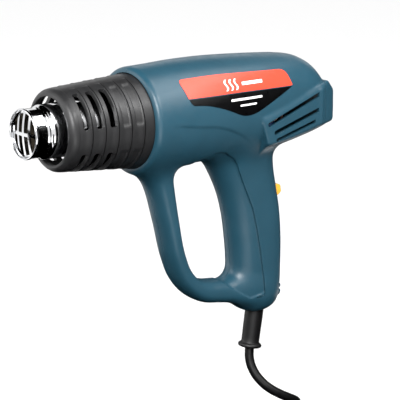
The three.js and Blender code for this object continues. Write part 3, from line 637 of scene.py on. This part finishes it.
CREASE = smooth_curve([0, 12, 36, 55, 72, 90], [0.4, -0.3, -3.4, -6.0, -12, -22])
CREASE_DEPTH = 0.8


def barrel(x, y, z):
    top = BARREL_TOP(x)
    bottom = BARREL_BOTTOM(x)
    middle = (top + bottom) / 2
    shape = section(y, z - middle, BARREL_HALF_WIDTH(x), (top - bottom) / 2, BARREL_SQUARENESS(x))
    below = step_up(CREASE(x) - z, 2.4) * step_up(z + 34, 26)
    fade = step_up(x - 17, 16) * (1 - step_up(x - 80, 26))
    return shape + CREASE_DEPTH * below * fade


INTAKE_LOW = smooth_curve([92, 105, 121, 138, 154, 166, 178], [-24.5, -23.6, -22.2, -19.7, -16.9, -15, -13])
BEVEL_DEPTH = 2.3
RIDGE_X = 157.4
KEEL_SLOPE = 0.4


def sloped(a, run_a, b, run_b):
    """A bevel plane through a = 0, b = -run_b and a = -run_a, b = 0."""
    return (a / run_a + b / run_b + 1) / np.hypot(1 / run_a, 1 / run_b)


def intake(x, y, z):
    """The boxy air intake: bevels above and in front, a shallow keel below, and a turned-in tail."""
    out = np.abs(y)
    half_width = 36.9 - 0.145 * (x - 95)
    side = out - half_width - 1.1 * np.exp(-((x - RIDGE_X) / 2.4) ** 2) * step_up(11.5 - z, 3)
    top = z + 2.7 - 0.271 * (x - 95)
    front = 93.3 - 0.37 * (5.3 + z) - x
    tail = (out - 28.2 + 0.47 * (x - 159)) / 1.1
    fall = (z - 13.9 + 0.85 * (x - 168.6)) / 1.31
    below = (INTAKE_LOW(x) - KEEL_SLOPE * (half_width - out) - z) / 1.09
    cuts = [
        (tail, 2.5),
        (sloped(side, BEVEL_DEPTH, top, 4.6 - 0.024 * (x - 95)), 1.6),
        (sloped(side, BEVEL_DEPTH, front, 3.4), 2.4),
        (top, 0.8),
        (front, 0.8),
        (fall, 2.0),
        (below, 2.5),
    ]
    block = side
    for plane, radius in cuts:
        block = smooth_max(block, plane, radius)
    return block


GRIP_Z = [-160, -156, -150, -145, -136, -122, -110, -96.5, -78.5, -62, -47, -38, -30, -20]


def along_grip(values):
    return smooth_curve(GRIP_Z, values)


GRIP_FRONT = along_grip([109, 105, 100, 95.5, 92.5, 92, 91.5, 90, 87, 82, 74.8, 69.8, 65.5, 61])
GRIP_BACK = along_grip([126, 128, 132.6, 135, 136, 136.4, 136.6, 136.3, 134.7, 131.5, 128.3, 127, 126, 125])
GRIP_HALF_WIDTH = along_grip([9, 11, 14, 15.6, 16.6, 16.8, 16.9, 17, 17, 17.4, 18.6, 20.2, 21.5, 22.5])
TUBE_LINE = [
    (47, -31), (52, -28), (58, -26.2), (64, -26), (70, -28), (79.8, -33.7), (84.4, -39), (90.4, -51.1),
    (96.5, -63.9), (101.4, -75), (105.3, -90.6), (108.9, -110.1), (111.4, -125.9), (111.8, -138.9),
]
TUBE_REGION = TUBE_LINE + [(100, -142), (84, -132), (60, -100), (44, -60)]
TUBE_GROOVE = TUBE_LINE + [(111.2, -141), (109, -142), (105, -142.4)]
TUBE_STEP = 0.9
FAR = 1e9


def outline_distance(x, z, outline):
    """Distance to a closed outline in the XZ plane: negative inside it."""
    best = np.full(np.broadcast(x, z).shape, FAR)
    inside = np.zeros(best.shape, bool)
    for (ax, az), (bx, bz) in zip(outline, outline[1:] + outline[:1]):
        t = np.clip(((x - ax) * (bx - ax) + (z - az) * (bz - az)) / ((bx - ax) ** 2 + (bz - az) ** 2), 0, 1)
        best = np.minimum(best, np.hypot(x - ax - t * (bx - ax), z - az - t * (bz - az)))
        if az != bz:
            crossing = ax + (z - az) / (bz - az) * (bx - ax)
            inside ^= ((az > z) != (bz > z)) & (x < crossing)
    return np.where(inside, -best, best)


def grip(x, y, z):
    front = GRIP_FRONT(z)
    back = GRIP_BACK(z)
    shape = section(x - (front + back) / 2, y, (back - front) / 2, GRIP_HALF_WIDTH(z), 2.35)
    shape = np.maximum(shape, z + 12)
    return smooth_max(shape, FOOT_Z - z, 7)


# The guard's centre line: x, z, half its thickness and half its width.
LOOP_POINTS = [
    (16, -20, 15, 17), (21, -32, 12.6, 14.6), (26, -46, 9.6, 12.9), (33, -75, 7.2, 12),
    (40, -104, 6.6, 11.8), (45.5, -117, 6.7, 11.8), (55.5, -128.3, 7.2, 12), (66, -133.4, 8.3, 12.2),
    (78, -135.4, 8.7, 12.4), (92, -137, 9.6, 12.8), (112, -140, 10.5, 13.5),
]
LOOP_PATH = smooth_path(LOOP_POINTS, 150)


def loop_frame(x, z):
    """Distance from the loop's centre line in its plane, and the half sizes of the section there."""
    best = np.full(x.shape, FAR)
    thick = np.ones(x.shape)
    wide = np.ones(x.shape)
    for (ax, az, ah, aw), (bx, bz, bh, bw) in zip(LOOP_PATH[:-1], LOOP_PATH[1:]):
        dx = bx - ax
        dz = bz - az
        t = np.clip(((x - ax) * dx + (z - az) * dz) / (dx * dx + dz * dz), 0, 1)
        distance = np.hypot(x - ax - t * dx, z - az - t * dz)
        nearer = distance < best
        best = np.where(nearer, distance, best)
        thick = np.where(nearer, ah + t * (bh - ah), thick)
        wide = np.where(nearer, aw + t * (bw - aw), wide)
    return best, thick, wide


def guard(x, y, z, flat=None):
    distance, thick, wide = loop_frame(x, z) if flat is None else flat
    return section(distance, y, thick, wide, 2.5)


def foot_ribs(x, y, z):
    """Two small ribs across the back of the handle's foot."""
    upper = np.hypot(x - GRIP_BACK(z) + 1.2, z + 140) - 2.0
    lower = np.hypot(x - GRIP_BACK(z) + 1.6, z + 145) - 3.0
    ribs = np.minimum(upper, lower)
    return smooth_max(ribs, np.abs(y) - 8, 2)


def body(x, y, z, flat=None):
    trunk = smooth_min(barrel(x, y, z), intake(x, y, z), 0.8)
    whole = smooth_min(trunk, grip(x, y, z), 9.0)
    whole = smooth_min(whole, guard(x, y, z, flat), 12.0)
    recess = step_up(-outline_distance(x, z, TUBE_REGION), 1.2)
    whole = whole + TUBE_STEP * recess
    whole = smooth_min(whole, foot_ribs(x, y, z), 0.8)
    whole = smooth_max(whole, -x, 5.0)
    return smooth_max(whole, x - TAIL_X, 3.0)


# ---- surface from the distance

CELL_CORNERS = [(a, b, c) for a in (0, 1) for b in (0, 1) for c in (0, 1)]


def surface_net(field, low, step):
    """Quads round every sign change of a grid of distances. The grid's rim counts as outside."""
    field = field.copy()
    field[[0, -1]] = step
    field[:, [0, -1]] = step
    field[:, :, [0, -1]] = step
    inside = field < 0
    nx, ny, nz = (n - 1 for n in field.shape)
    filled = sum(inside[a:a + nx, b:b + ny, c:c + nz].astype(np.int8) for a, b, c in CELL_CORNERS)
    active = (filled > 0) & (filled < 8)
    cells = np.argwhere(active)
    number = np.full(active.shape, -1, np.int64)
    number[active] = np.arange(len(cells))
    total = np.zeros((len(cells), 3))
    count = np.zeros(len(cells))
    for unit in np.eye(3, dtype=int):
        for corner in CELL_CORNERS:
            if np.dot(corner, unit):
                continue
            start = cells + corner
            f0 = field[tuple(start.T)]
            f1 = field[tuple((start + unit).T)]
            crossing = (f0 < 0) != (f1 < 0)
            t = f0 / np.where(crossing, f0 - f1, 1)
            point = start + t[:, None] * unit
            total[crossing] += point[crossing]
            count[crossing] += 1
    vertices = low + step * total / count[:, None]
    quads = []
    for axis in range(3):
        edges = np.argwhere(np.diff(inside, axis=axis))
        u, v = np.delete(np.eye(3, dtype=int), axis, 0)
        around = (u + v, v, 0 * u, u)
        quad = np.stack([number[tuple((edges - shift).T)] for shift in around], axis=1)
        backward = inside[tuple(edges.T)] == (axis == 1)
        quad[backward] = quad[backward][:, ::-1]
        quads.append(quad)
    return vertices, np.concatenate(quads)


def gradient(points, distance, eps=0.05):
    parts = [distance(*(points + shift).T) - distance(*(points - shift).T) for shift in eps * np.eye(3)]
    return np.stack(parts, axis=1) / (2 * eps)


QUAD_SIDES = ((0, 1), (1, 0), (1, 2), (2, 1), (2, 3), (3, 2), (3, 0), (0, 3))


def settle(vertices, quads, distance, rounds, locked):
    """Evens out the net and puts its points back on the surface."""
    for turn in range(rounds):
        if turn:
            total = np.zeros_like(vertices)
            count = np.zeros(len(vertices))
            for a, b in QUAD_SIDES:
                np.add.at(total, quads[:, a], vertices[quads[:, b]])
                np.add.at(count, quads[:, a], 1)
            evened = total / count[:, None]
            vertices = np.where(locked[:, None], vertices, 0.5 * vertices + 0.5 * evened)
        slope = gradient(vertices, distance)
        value = distance(*vertices.T)
        move = -value[:, None] * slope / np.maximum((slope ** 2).sum(1), 0.2)[:, None]
        vertices = np.where(locked[:, None], vertices, vertices + np.clip(move, -1.5, 1.5))
    return vertices


def skin(name, low, high, step, offset=0.0, rounds=4):
    """The housing's surface inside a box, moved in by offset, as a closed mesh."""
    low = np.asarray(low, float)
    sizes = [ceil((h - l) / step) + 1 for l, h in zip(low, high)]
    axes = [low[k] + step * np.arange(sizes[k]) for k in range(3)]
    x, y, z = np.meshgrid(*axes, indexing="ij", sparse=True)
    flat = loop_frame(*np.broadcast_arrays(x, z))
    field = np.broadcast_to(body(x, y, z, flat), sizes) + offset
    vertices, quads = surface_net(field, low, step)
    top = low + step * (np.array(sizes) - 1)
    locked = ((vertices < low + 1.2 * step) | (vertices > top - 1.2 * step)).any(axis=1)
    vertices = settle(vertices, quads, lambda a, b, c: body(a, b, c) + offset, rounds, locked)
    return mesh_object(name, vertices, quads)


# ---- housings

SHELL_STEP = 1.0
HOLLOW_STEP = 1.6
HALF_LOW = (-4, -42, -160)
HALF_HIGH = (182, 3, 44)
PANEL_HALF_WIDTH = 12.0
PANEL_FRONT = [(117.5, -39), (125, -62), (129, -92), (130, -136)]
PANEL_BEHIND_X = 146.0
PANEL_LINE = 0.15  # added to the gap, so that the line shows
SHROUD_BORE_R = 33.7
INTAKE_SLOTS = [
    (98.6, -9.3, 153.9, 6.9, 1.8),
    (104.8, -15.8, 153.7, -4.4, 1.7),
    (107.0, -21.3, 150.3, -12.4, 1.3),
]
HOUSING_SCREWS = [(48, 31.8), (100, 31.5), (146, 21), (26, -46), (92, -43), (50.5, -123), (103, -131)]
SCREW_SEAT_Y = 8.0
RECESS_R = 3.3
BOSS_R = 4


def panel_tool(clearance):
    outline = [(x - clearance, z) for x, z in PANEL_FRONT]
    top = PANEL_FRONT[0][1] + clearance
    foot = PANEL_FRONT[-1][1] - clearance
    outline[0] = (outline[0][0], top)
    outline[-1] = (outline[-1][0], foot)
    outline += [(PANEL_BEHIND_X, foot), (PANEL_BEHIND_X, top)]
    half_width = PANEL_HALF_WIDTH + clearance
    return prism_tool(outline, -half_width, half_width)


def slot_tool(x0, z0, x1, z1, half_height):
    """A slanted air slot with a round front end and an upright rear end, on the left side."""
    direction = Vector((x1 - x0, z1 - z0)).normalized()
    across = Vector((-direction.y, direction.x))
    front = []
    for k in range(9):
        angle = radians(90 + 180 * k / 8)
        offset = direction * cos(angle) + across * sin(angle) + direction
        front.append((x0 + half_height * offset.x, z0 + half_height * offset.y))
    half = half_height / direction.x
    outline = front + [(x1, z1 - half), (x1, z1 + half)]
    return prism_tool(outline, -60, -19)


def ribbon(points, width):
    """The outline of a strip of even width along a line."""
    points = [Vector(p) for p in points]
    left = []
    right = []
    for k, point in enumerate(points):
        along = (points[min(k + 1, len(points) - 1)] - points[max(k - 1, 0)]).normalized()
        across = Vector((-along.y, along.x)) * (width / 2)
        left.append(tuple(point + across))
        right.append(tuple(point - across))
    return left + right[::-1]


def groove_tool(line, width, low, high):
    """A shallow groove along a line on the housing's left side."""
    rind = skin("rind", low, high, 1.4, offset=-1.5, rounds=2)
    cut(rind, skin("core", low, high, 1.4, offset=0.9, rounds=2))
    combine(rind, prism_tool(ribbon(line, width), -60, -2), "INTERSECT")
    return rind


def drum(start, end, radius):
    """The profile of a cylinder."""
    return [(start, 0), (start, radius), (end, radius), (end, 0)]


def surface_y(xs, zs):
    """How far the body reaches sideways at each x and z."""
    low = np.zeros_like(xs)
    high = np.full_like(xs, 45.0)
    for _ in range(24):
        middle = (low + high) / 2
        inside = body(xs, middle, zs) < 0
        low = np.where(inside, middle, low)
        high = np.where(inside, high, middle)
    return low


def boss_tool(x, z):
    """A screw boss that runs from the joint out to the wall and ends inside it."""
    angles = np.linspace(0, 2 * pi, 25)[:-1]
    xs = np.append(x + BOSS_R * np.cos(angles), x)
    zs = np.append(z + BOSS_R * np.sin(angles), z)
    ends = np.maximum(surface_y(xs, zs) - WALL * 0.6, 1.0)
    foot = [(a, -GAP / 2, b) for a, b in zip(xs, zs)]
    top = [(a, -y, b) for a, y, b in zip(xs, ends, zs)]
    return domed_tool(foot[:-1], top[:-1], [foot[-1], top[-1]])


def hollow_tool(low, high):
    """The space inside the shells."""
    return skin("hollow", low, high, HOLLOW_STEP, offset=WALL, rounds=2)


def make_housings():
    """The two handed shells, cut from one half of the body."""
    left = skin("left_shell", HALF_LOW, HALF_HIGH, SHELL_STEP)
    cut(left, hollow_tool(HALF_LOW, HALF_HIGH))
    for x, z in HOUSING_SCREWS:
        combine(left, boss_tool(x, z), "UNION")
    cut(
        left,
        box_tool((-10, -GAP / 2, -200), (200, 60, 60)),
        turned("tool", drum(-10, 3.2, SHROUD_BORE_R), segments=128),
        panel_tool(GAP + PANEL_LINE),
        turned("tool", drum(-12, 12, 7.4), BOOT_POINT, "Z", BOOT_TILT, 48),
        *(slot_tool(*slot) for slot in INTAKE_SLOTS),
        groove_tool(TUBE_GROOVE, 0.8, (42, -34, -146), (116, 0, -20)),
        box_tool((CAP_JOINT_X, -60, -60), (200, 60, 60)),
    )
    right = mirrored(left, "right_shell")
    for x, z in HOUSING_SCREWS:
        recess = drum(SCREW_SEAT_Y, 60, RECESS_R)
        shank = drum(-1, SCREW_SEAT_Y + 1, 1.8)
        cut(right, along_y(recess, x, z), along_y(shank, x, z))
    for shell, node in ((left, "left_housing"), (right, "right_housing")):
        crisp(shell)
        finish(shell, "housing")
        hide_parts(node)


def along_y(profile, x, z, segments=32, name="tool"):
    """A turned piece about an axis along Y, from (y, radius) points."""
    piece = turned(name, profile, segments=segments)
    for vertex in piece.data.vertices:
        a, u, v = local_mm(vertex.co)
        vertex.co = place(x + u, a, z + v)
    recalculate(piece)
    return piece


def make_tail_cap():
    """The rear cap: a hollow shell that closes the body behind the joint."""
    low = (CAP_JOINT_X - 4, -42, -44)
    high = (182, 42, 42)
    cap = skin("rear_cap", low, high, SHELL_STEP)
    cut(cap, hollow_tool(low, high), box_tool((100, -60, -60), (CAP_JOINT_X + GAP, 60, 60)))
    crisp(cap)
    finish(cap, "housing")
    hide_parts("tail_cap")


def switch_block(low, high):
    """A block in the switch's own leaning frame."""
    return solid_tool(tilted(box_corners(low, high), SWITCH_POINT, SWITCH_TILT), BOX_FACES)


def make_switch_panel():
    low = (112, -15, -139)
    high = (143, 15, -34)
    panel = skin("switch_strip", low, high, 1.0)
    cut(panel, hollow_tool(low, high))
    combine(panel, panel_tool(0), "INTERSECT")
    cut(panel, switch_block((-12, -2.9, -3.2), (8, 2.9, 12.2)))
    crisp(panel)
    finish(panel, "housing")
    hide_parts("switch_panel")


# ---- label

LABEL_RED = [
    (24.6, 29.2, 4), (57, 30.4, 30), (123, 28.3, 5), (127, 16.6, 1.4), (75, 17.2, 0.1), (28.0, 16.8, 0.3),
]
LABEL_BLACK = [
    (28.4, 16.2, 0.3), (75, 16.6, 0.1), (126.2, 16.0, 0.6), (88, 0.8, 9), (76.5, -0.2, 9), (58.3, 7.0, 14),
    (44, 11.0, 12), (30.5, 12.0, 3),
]


def film_between(inner_gap, outer_gap, name):
    """A thin layer that follows the left side of the body."""
    low = (18, -43, -8)
    high = (136, -4, 36)
    film = skin(name, low, high, 1.2, offset=-outer_gap, rounds=3)
    cut(film, skin("core", low, high, 1.2, offset=-inner_gap, rounds=3))
    return film


def label_piece(film, outline, look, name):
    """The film inside an outline, on both sides of the gun."""
    left = copy_of(film, name + "_left")
    combine(left, prism_tool(outline, -60, -6), "INTERSECT")
    right = mirrored(left, name + "_right")
    for piece in (left, right):
        crisp(piece)
        finish(piece, look)
    return left, right


def heat_wave(x, z, height):
    """A slim S-shaped stroke, a plain sign for rising heat."""
    middle = []
    for k in range(13):
        t = k / 12
        middle.append((x + 1.1 * sin(2 * pi * t) + 0.18 * height * t, z + height * t))
    left = [(a - 0.75, b) for a, b in middle]
    right = [(a + 0.75, b) for a, b in reversed(middle)]
    return left + right


def bar(x0, x1, z, height):
    lean = 0.2 * height
    return rounded([(x0, z, 0.4), (x1, z, 0.4), (x1 + lean, z + height, 0.4), (x0 + lean, z + height, 0.4)])


def make_labels():
    film = film_between(0.05, 0.3, "film")
    pieces = [
        label_piece(film, rounded(LABEL_RED, 6), "label_red", "label_band"),
        label_piece(film, rounded(LABEL_BLACK, 6), "label_black", "label_field"),
    ]
    bpy.data.objects.remove(film)
    print_film = film_between(0.2, 0.36, "print_film")
    marks = [heat_wave(x, 19.0, 7.4) for x in (62, 66.5, 71)]
    marks += [bar(77, 97, 21.6, 2.2), bar(64, 94, 11.6, 1.5), bar(72, 88, 7.4, 1.2)]
    for k, outline in enumerate(marks):
        pieces.append(label_piece(print_film, outline, "label_white", f"label_mark_{k + 1}"))
    bpy.data.objects.remove(print_film)
    for left, right in pieces:
        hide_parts("label_left")
        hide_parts("label_right")


# ---- shroud and nozzle

SHROUD_RING_XS = [-48.3, -38.2, -28.0, -18.0, -7.8]
CONE_FRONT_X = -58.0
CONE_FRONT_R = 28.7
SHROUD_REAR_R = 33.1
SHROUD_WALL = 2.6
GROOVE_DEPTH = 1.6
GROOVE_WIDTH = 0.9
SLOT_WIDTH = 5.4
SLOT_MIDDLE = radians(56)
SLOT_HALF_ANGLE = radians(28)


def cone_radius(x):
    return CONE_FRONT_R + (SHROUD_REAR_R - CONE_FRONT_R) * (x - CONE_FRONT_X) / -CONE_FRONT_X


def shroud_radius(x, angle):
    """Stepped rings on the flanks, smooth on top and beneath, with shallow pockets behind the slots."""
    radius = cone_radius(x)
    elevation = atan2(sin(angle), abs(cos(angle)))
    flank = step_up(radians(74) - abs(elevation), 0.07)
    quarter = pi / 2
    from_slot = abs((angle - SLOT_MIDDLE + quarter / 2) % quarter - quarter / 2)
    for number, ring in enumerate(SHROUD_RING_XS):
        lip = 0.3 * step_up(x - ring + 3.2, 5) * (x < ring)
        groove = GROOVE_DEPTH * (abs(x - ring - GROOVE_WIDTH / 2) < GROOVE_WIDTH / 2)
        radius += flank * (lip - groove)
        if number > 2:
            along = step_up(x - ring + SLOT_WIDTH + 1, 0.7) * step_up(ring - 0.9 - x, 0.7)
            radius -= 0.75 * along * step_up(SLOT_HALF_ANGLE - from_slot, 0.03)
    return float(radius)


def ring_slot_tool(ring, middle):
    """A slot round part of the shroud with rounded ends."""
    x0 = ring - SLOT_WIDTH - 0.9
    x1 = ring - 0.9
    radius = cone_radius(ring)
    arc = SLOT_HALF_ANGLE * radius
    corners = [(x0, -arc, 2.2), (x1, -arc, 2.2), (x1, arc, 2.2), (x0, arc, 2.2)]
    outline = rounded(corners, 5)
    dense = []
    for k, (x, s) in enumerate(outline):
        nx, ns = outline[(k + 1) % len(outline)]
        pieces = max(1, int(abs(ns - s) / 1.5))
        dense += [(x + (nx - x) * i / pieces, s + (ns - s) * i / pieces) for i in range(pieces)]
    dense.append(((x0 + x1) / 2, 0))
    ends = []
    for reach in (20, 40):
        angles = [(x, middle + s / radius) for x, s in dense]
        ends.append([(x, reach * cos(angle), reach * sin(angle)) for x, angle in angles])
    return domed_tool(ends[0][:-1], ends[1][:-1], [ends[0][-1], ends[1][-1]])


def make_shroud():
    flange_x = 3.5
    nose = rounded([
        (CONE_FRONT_X - 2, 23.4, 1), (SHROUD_X, 23.2, 1), (SHROUD_X, 25.2, 1.6), (-61.6, 28.2, 3),
        (CONE_FRONT_X + 0.5, cone_radius(CONE_FRONT_X + 0.5), 0.5),
    ], 5)[1:-3]
    inside = [
        (flange_x, SHROUD_REAR_R), (flange_x, 34.5), (6.0, 34.5), (6.0, SHROUD_REAR_R - SHROUD_WALL),
        (0.0, SHROUD_REAR_R - SHROUD_WALL), (CONE_FRONT_X, CONE_FRONT_R - SHROUD_WALL),
        (CONE_FRONT_X - 1.5, 24.4),
    ]
    cone_xs = list(np.arange(CONE_FRONT_X + 1, flange_x, 0.4))
    edges = (-0.01, 0.01, GROOVE_WIDTH - 0.01, GROOVE_WIDTH + 0.01)
    cone_xs += [ring + shift for ring in SHROUD_RING_XS for shift in edges]
    cone_xs.sort()
    segments = 180
    vertices = []
    for k in range(segments):
        angle = 2 * pi * k / segments
        profile = nose + [(x, shroud_radius(x, angle)) for x in cone_xs] + inside
        vertices += [(x, r * cos(angle), r * sin(angle)) for x, r in profile]
    shroud = mesh_object("ring_shroud", vertices, grid_faces(segments, len(profile)))
    recalculate(shroud)
    for ring in SHROUD_RING_XS[:3]:
        for quarter in range(4):
            cut(shroud, ring_slot_tool(ring, SLOT_MIDDLE + quarter * pi / 2))
    crisp(shroud, 35)
    finish(shroud, "shroud")
    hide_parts("nozzle_shroud")


def make_heater_tube():
    """The steel tube, with its rolled mouth and the bead where it steps down."""
    mouth = [
        (1.2, 15.9), (0.4, 16.0), (0.05, 16.3), (0.0, 16.7), (0.2, 17.05), (0.7, 17.3), (1.6, 17.3),
        (2.1, 17.1), (2.3, 16.85), (2.6, 16.8), (3.1, 16.8),
    ]
    bead = [
        (-75.2, 16.8), (-74.6, 16.8), (-74.2, 17.0), (-73.6, 17.3), (-73.0, 17.0), (-72.6, 16.85),
        (-72.0, 17.0), (-71.2, 17.9), (-70.6, 18.35), (-70.0, 18.5), (-69.4, 18.5),
    ]
    flange = [(17.0, 18.5), (17.6, 18.5), (17.8, 18.7), (17.8, 24), (19, 24)]
    bore = [(19, 17.7), (-70.8, 17.7), (-72.4, 16.0), (-74.0, 16.0)]
    profile = [(NOZZLE_X + x, r) for x, r in mouth] + bead + flange + bore
    tube = turned("nozzle_tube", profile, segments=160)
    finish(tube, "chrome")
    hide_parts("heater_tube")


def grille_opening(y, above):
    """One slot of the grille, as a prism along X. Its outer end follows the rim."""
    rim_r = 14.1
    half_width = 2.25
    bar_half_height = 1.15
    sign = 1 if above else -1
    corners = [(y - half_width, sign * bar_half_height, 0.7), (y + half_width, sign * bar_half_height, 0.7)]
    for k in range(5):
        u = y + half_width - 2 * half_width * k / 4
        corners.append((u, sign * sqrt(rim_r ** 2 - u ** 2), 0.5))
    front, back = ([(x, u, v) for u, v in rounded(corners, 4)] for x in (-95, -75))
    return prism_between(front, back)


def make_grille():
    """A domed steel stamping with eight slots."""
    crown = NOZZLE_X + 0.4
    edge_r = 15.7
    sag = 2.1
    sheet = 0.8
    radii = np.linspace(0, edge_r, 14)
    front = [(crown + sag * (r / edge_r) ** 2, r) for r in radii]
    back = [(x + sheet, r) for x, r in reversed(front)]
    grille = turned("grille_disc", front + back, segments=128)
    for y in (-10.1, -3.37, 3.37, 10.1):
        for above in (True, False):
            cut(grille, grille_opening(y, above))
    crisp(grille, 40)
    finish(grille, "chrome")
    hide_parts("mouth_grille")


# ---- switch, boot and screws

def make_knob():
    """The slide switch's amber knob, ribbed for the thumb."""
    outline = [(0.4, -4.6, 0.4), (3.6, -4.3, 1.6), (5.9, -2.6, 1.2)]
    for rib in range(3):
        z = -1.9 + 1.5 * rib
        outline += [(6.15, z, 0.3), (6.15, z + 0.6, 0.3), (5.75, z + 0.85, 0.2), (5.75, z + 1.3, 0.2)]
    outline += [(5.9, 2.6, 1.2), (3.6, 4.3, 1.6), (0.4, 4.6, 0.4)]
    profile = rounded(outline, 4)
    edge = [(4.5, 0.86), (4.35, 0.93), (4.0, 0.98), (3.4, 1)]
    loops = []
    for y, scale in [(-y, scale) for y, scale in edge] + edge[::-1]:
        loops.append([(0.4 + (x - 0.4) * scale, y, z * scale) for x, z in profile])
    knob = loft("knob", [tilted(loop, SWITCH_POINT, SWITCH_TILT) for loop in loops])
    combine(knob, switch_block((-4.6, -2.4, -2.7), (1, 2.4, 2.7)), "UNION")
    crisp(knob, 40)
    finish(knob, "amber", "switch_slider")
    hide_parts("switch_knob")


def make_boot():
    """The cord's strain relief: a tapered sleeve with a rolled lip."""
    bore = CORD_R + GAP
    profile = [
        (7.4, bore), (7.4, 9.0), (4.8, 9.0), (4.8, 7.0), (-1, 7.0), (-8, 7.0), (-16, 6.9), (-22, 6.8),
        (-25.2, 6.82), (-26.3, 7.1), (-26.9, 8.1), (-27.5, 8.75), (-28.3, 9.0), (-29.0, 8.85), (-29.6, 8.3),
        (-29.95, 7.2), (-30.0, 6.0), (-29.6, 5.2), (-28.6, bore),
    ]
    boot = turned("cord_sleeve", profile, BOOT_POINT, "Z", BOOT_TILT, 96)
    finish(boot, "rubber")
    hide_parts("cord_boot")


def make_screws():
    """Pan-head screws with a cross recess."""
    seat = SCREW_SEAT_Y + GAP
    top = SCREW_SEAT_Y + 2.6
    for number, (x, z) in enumerate(HOUSING_SCREWS, start=1):
        profile = [
            (-7.7, 0), (-7.2, 0.6), (-6.4, 1.4), (-6.0, 1.5), (seat, 1.5), (seat, 2.95), (seat + 0.3, 3.0),
            (top - 0.9, 2.95), (top - 0.3, 2.3), (top, 1.2), (top, 0),
        ]
        screw = along_y(profile, x, z, 40, f"screw_{number}")
        for wide, high in ((1.7, 0.32), (0.32, 1.7)):
            cut(screw, box_tool((x - wide, top - 1.1, z - high), (x + wide, top + 1, z + high)))
        crisp(screw, 35)
        finish(screw, "steel")
        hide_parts(f"housing_screw_{number}")


# ---- studio

FLOOR_SIZE = 24
FLOOR_GREY = 0.95


def make_floor():
    bpy.ops.mesh.primitive_grid_add(size=FLOOR_SIZE, x_subdivisions=1, y_subdivisions=1)
    floor = bpy.context.object
    floor.name = "studio_floor"
    floor.location.z = place(0, 0, FLOOR_Z).z
    shade, tree, shader = blank_material("studio_floor")
    set_inputs(shader, {
        "Base Color": (FLOOR_GREY, FLOOR_GREY, FLOOR_GREY, 1),
        "Roughness": 0.8,
        "Specular IOR Level": 0.1,
    })
    floor.data.materials.append(shade)


def softbox(name, at, energy, size, aim=(40, 0, -40)):
    """A large square light; at and aim are barrel-frame points."""
    data = bpy.data.lights.new(name, "AREA")
    data.shape = "SQUARE"
    data.size = size
    data.energy = energy
    aim_at(link(name, data), at, aim)


def make_lights():
    bpy.context.scene.view_settings.view_transform = "Standard"
    softbox("key", (-800, -800, 700), 26, 0.7)
    softbox("fill", (-1100, 500, 500), 5, 0.9)
    softbox("sheen", (390, -838, 712), 9, 0.45)
    softbox("top", (285, -120, 450), 1.0, 0.3, aim=(-30, 0, 0))
    world = bpy.data.worlds.new("studio")
    world.use_nodes = True
    set_inputs(world.node_tree.nodes["Background"], {"Color": (1, 1, 1, 1), "Strength": 1.0})
    bpy.context.scene.world = world


def black_card(name, corners, diffuse):
    """A card out of the camera's sight that darkens what its front faces, and is clear from behind."""
    card = mesh_object(name, corners, [(0, 1, 2, 3)], smooth=False)
    shade, tree, black = blank_material(name)
    set_inputs(black, {"Base Color": (0, 0, 0, 1), "Specular IOR Level": 0})
    mix = tree.nodes.new("ShaderNodeMixShader")
    set_inputs(mix, {
        "Fac": add_node(tree, "NewGeometry", "Backfacing"),
        1: black.outputs["BSDF"],
        2: add_node(tree, "BsdfTransparent", "BSDF"),
    })
    set_inputs(tree.nodes["Material Output"], {"Surface": mix.outputs["Shader"]})
    card.data.materials.append(shade)
    card.visible_camera = False
    card.visible_diffuse = diffuse
    card.visible_shadow = False
    card.visible_transmission = False


def upright(start, end, top):
    """Corners of an upright card between two points of the floor."""
    low = FLOOR_Z + 2
    return [(*start, low), (*end, low), (*end, top), (*start, top)]


def make_cards():
    """Cards round the gun: the chrome and the edges mirror them, and they hold back light from below."""
    black_card("card_right", upright((530, 102), (53, -448), 280), False)
    black_card("card_behind", upright((40, 530), (580, 120), 80), False)
    black_card("card_left", upright((-330, -330), (-330, 260), -30), True)
    above = [(-400, -150), (-400, 700), (800, 700), (800, -150)]
    black_card("card_above", [(x, y, 520) for x, y in above], True)
    below = [(-260, -330), (330, -330), (330, 330), (-260, 330)]
    black_card("card_below", [(x, y, FLOOR_Z + 36) for x, y in below], True)


# ---- scene

make_camera()
power_cord = make_cord()
cord_pieces = [make_tie(), *make_plug()]
make_housings()
make_tail_cap()
make_switch_panel()
make_labels()
make_shroud()
make_heater_tube()
make_grille()
make_knob()
make_boot()
make_screws()
dress_nodes()
make_floor()
make_lights()
make_cards()
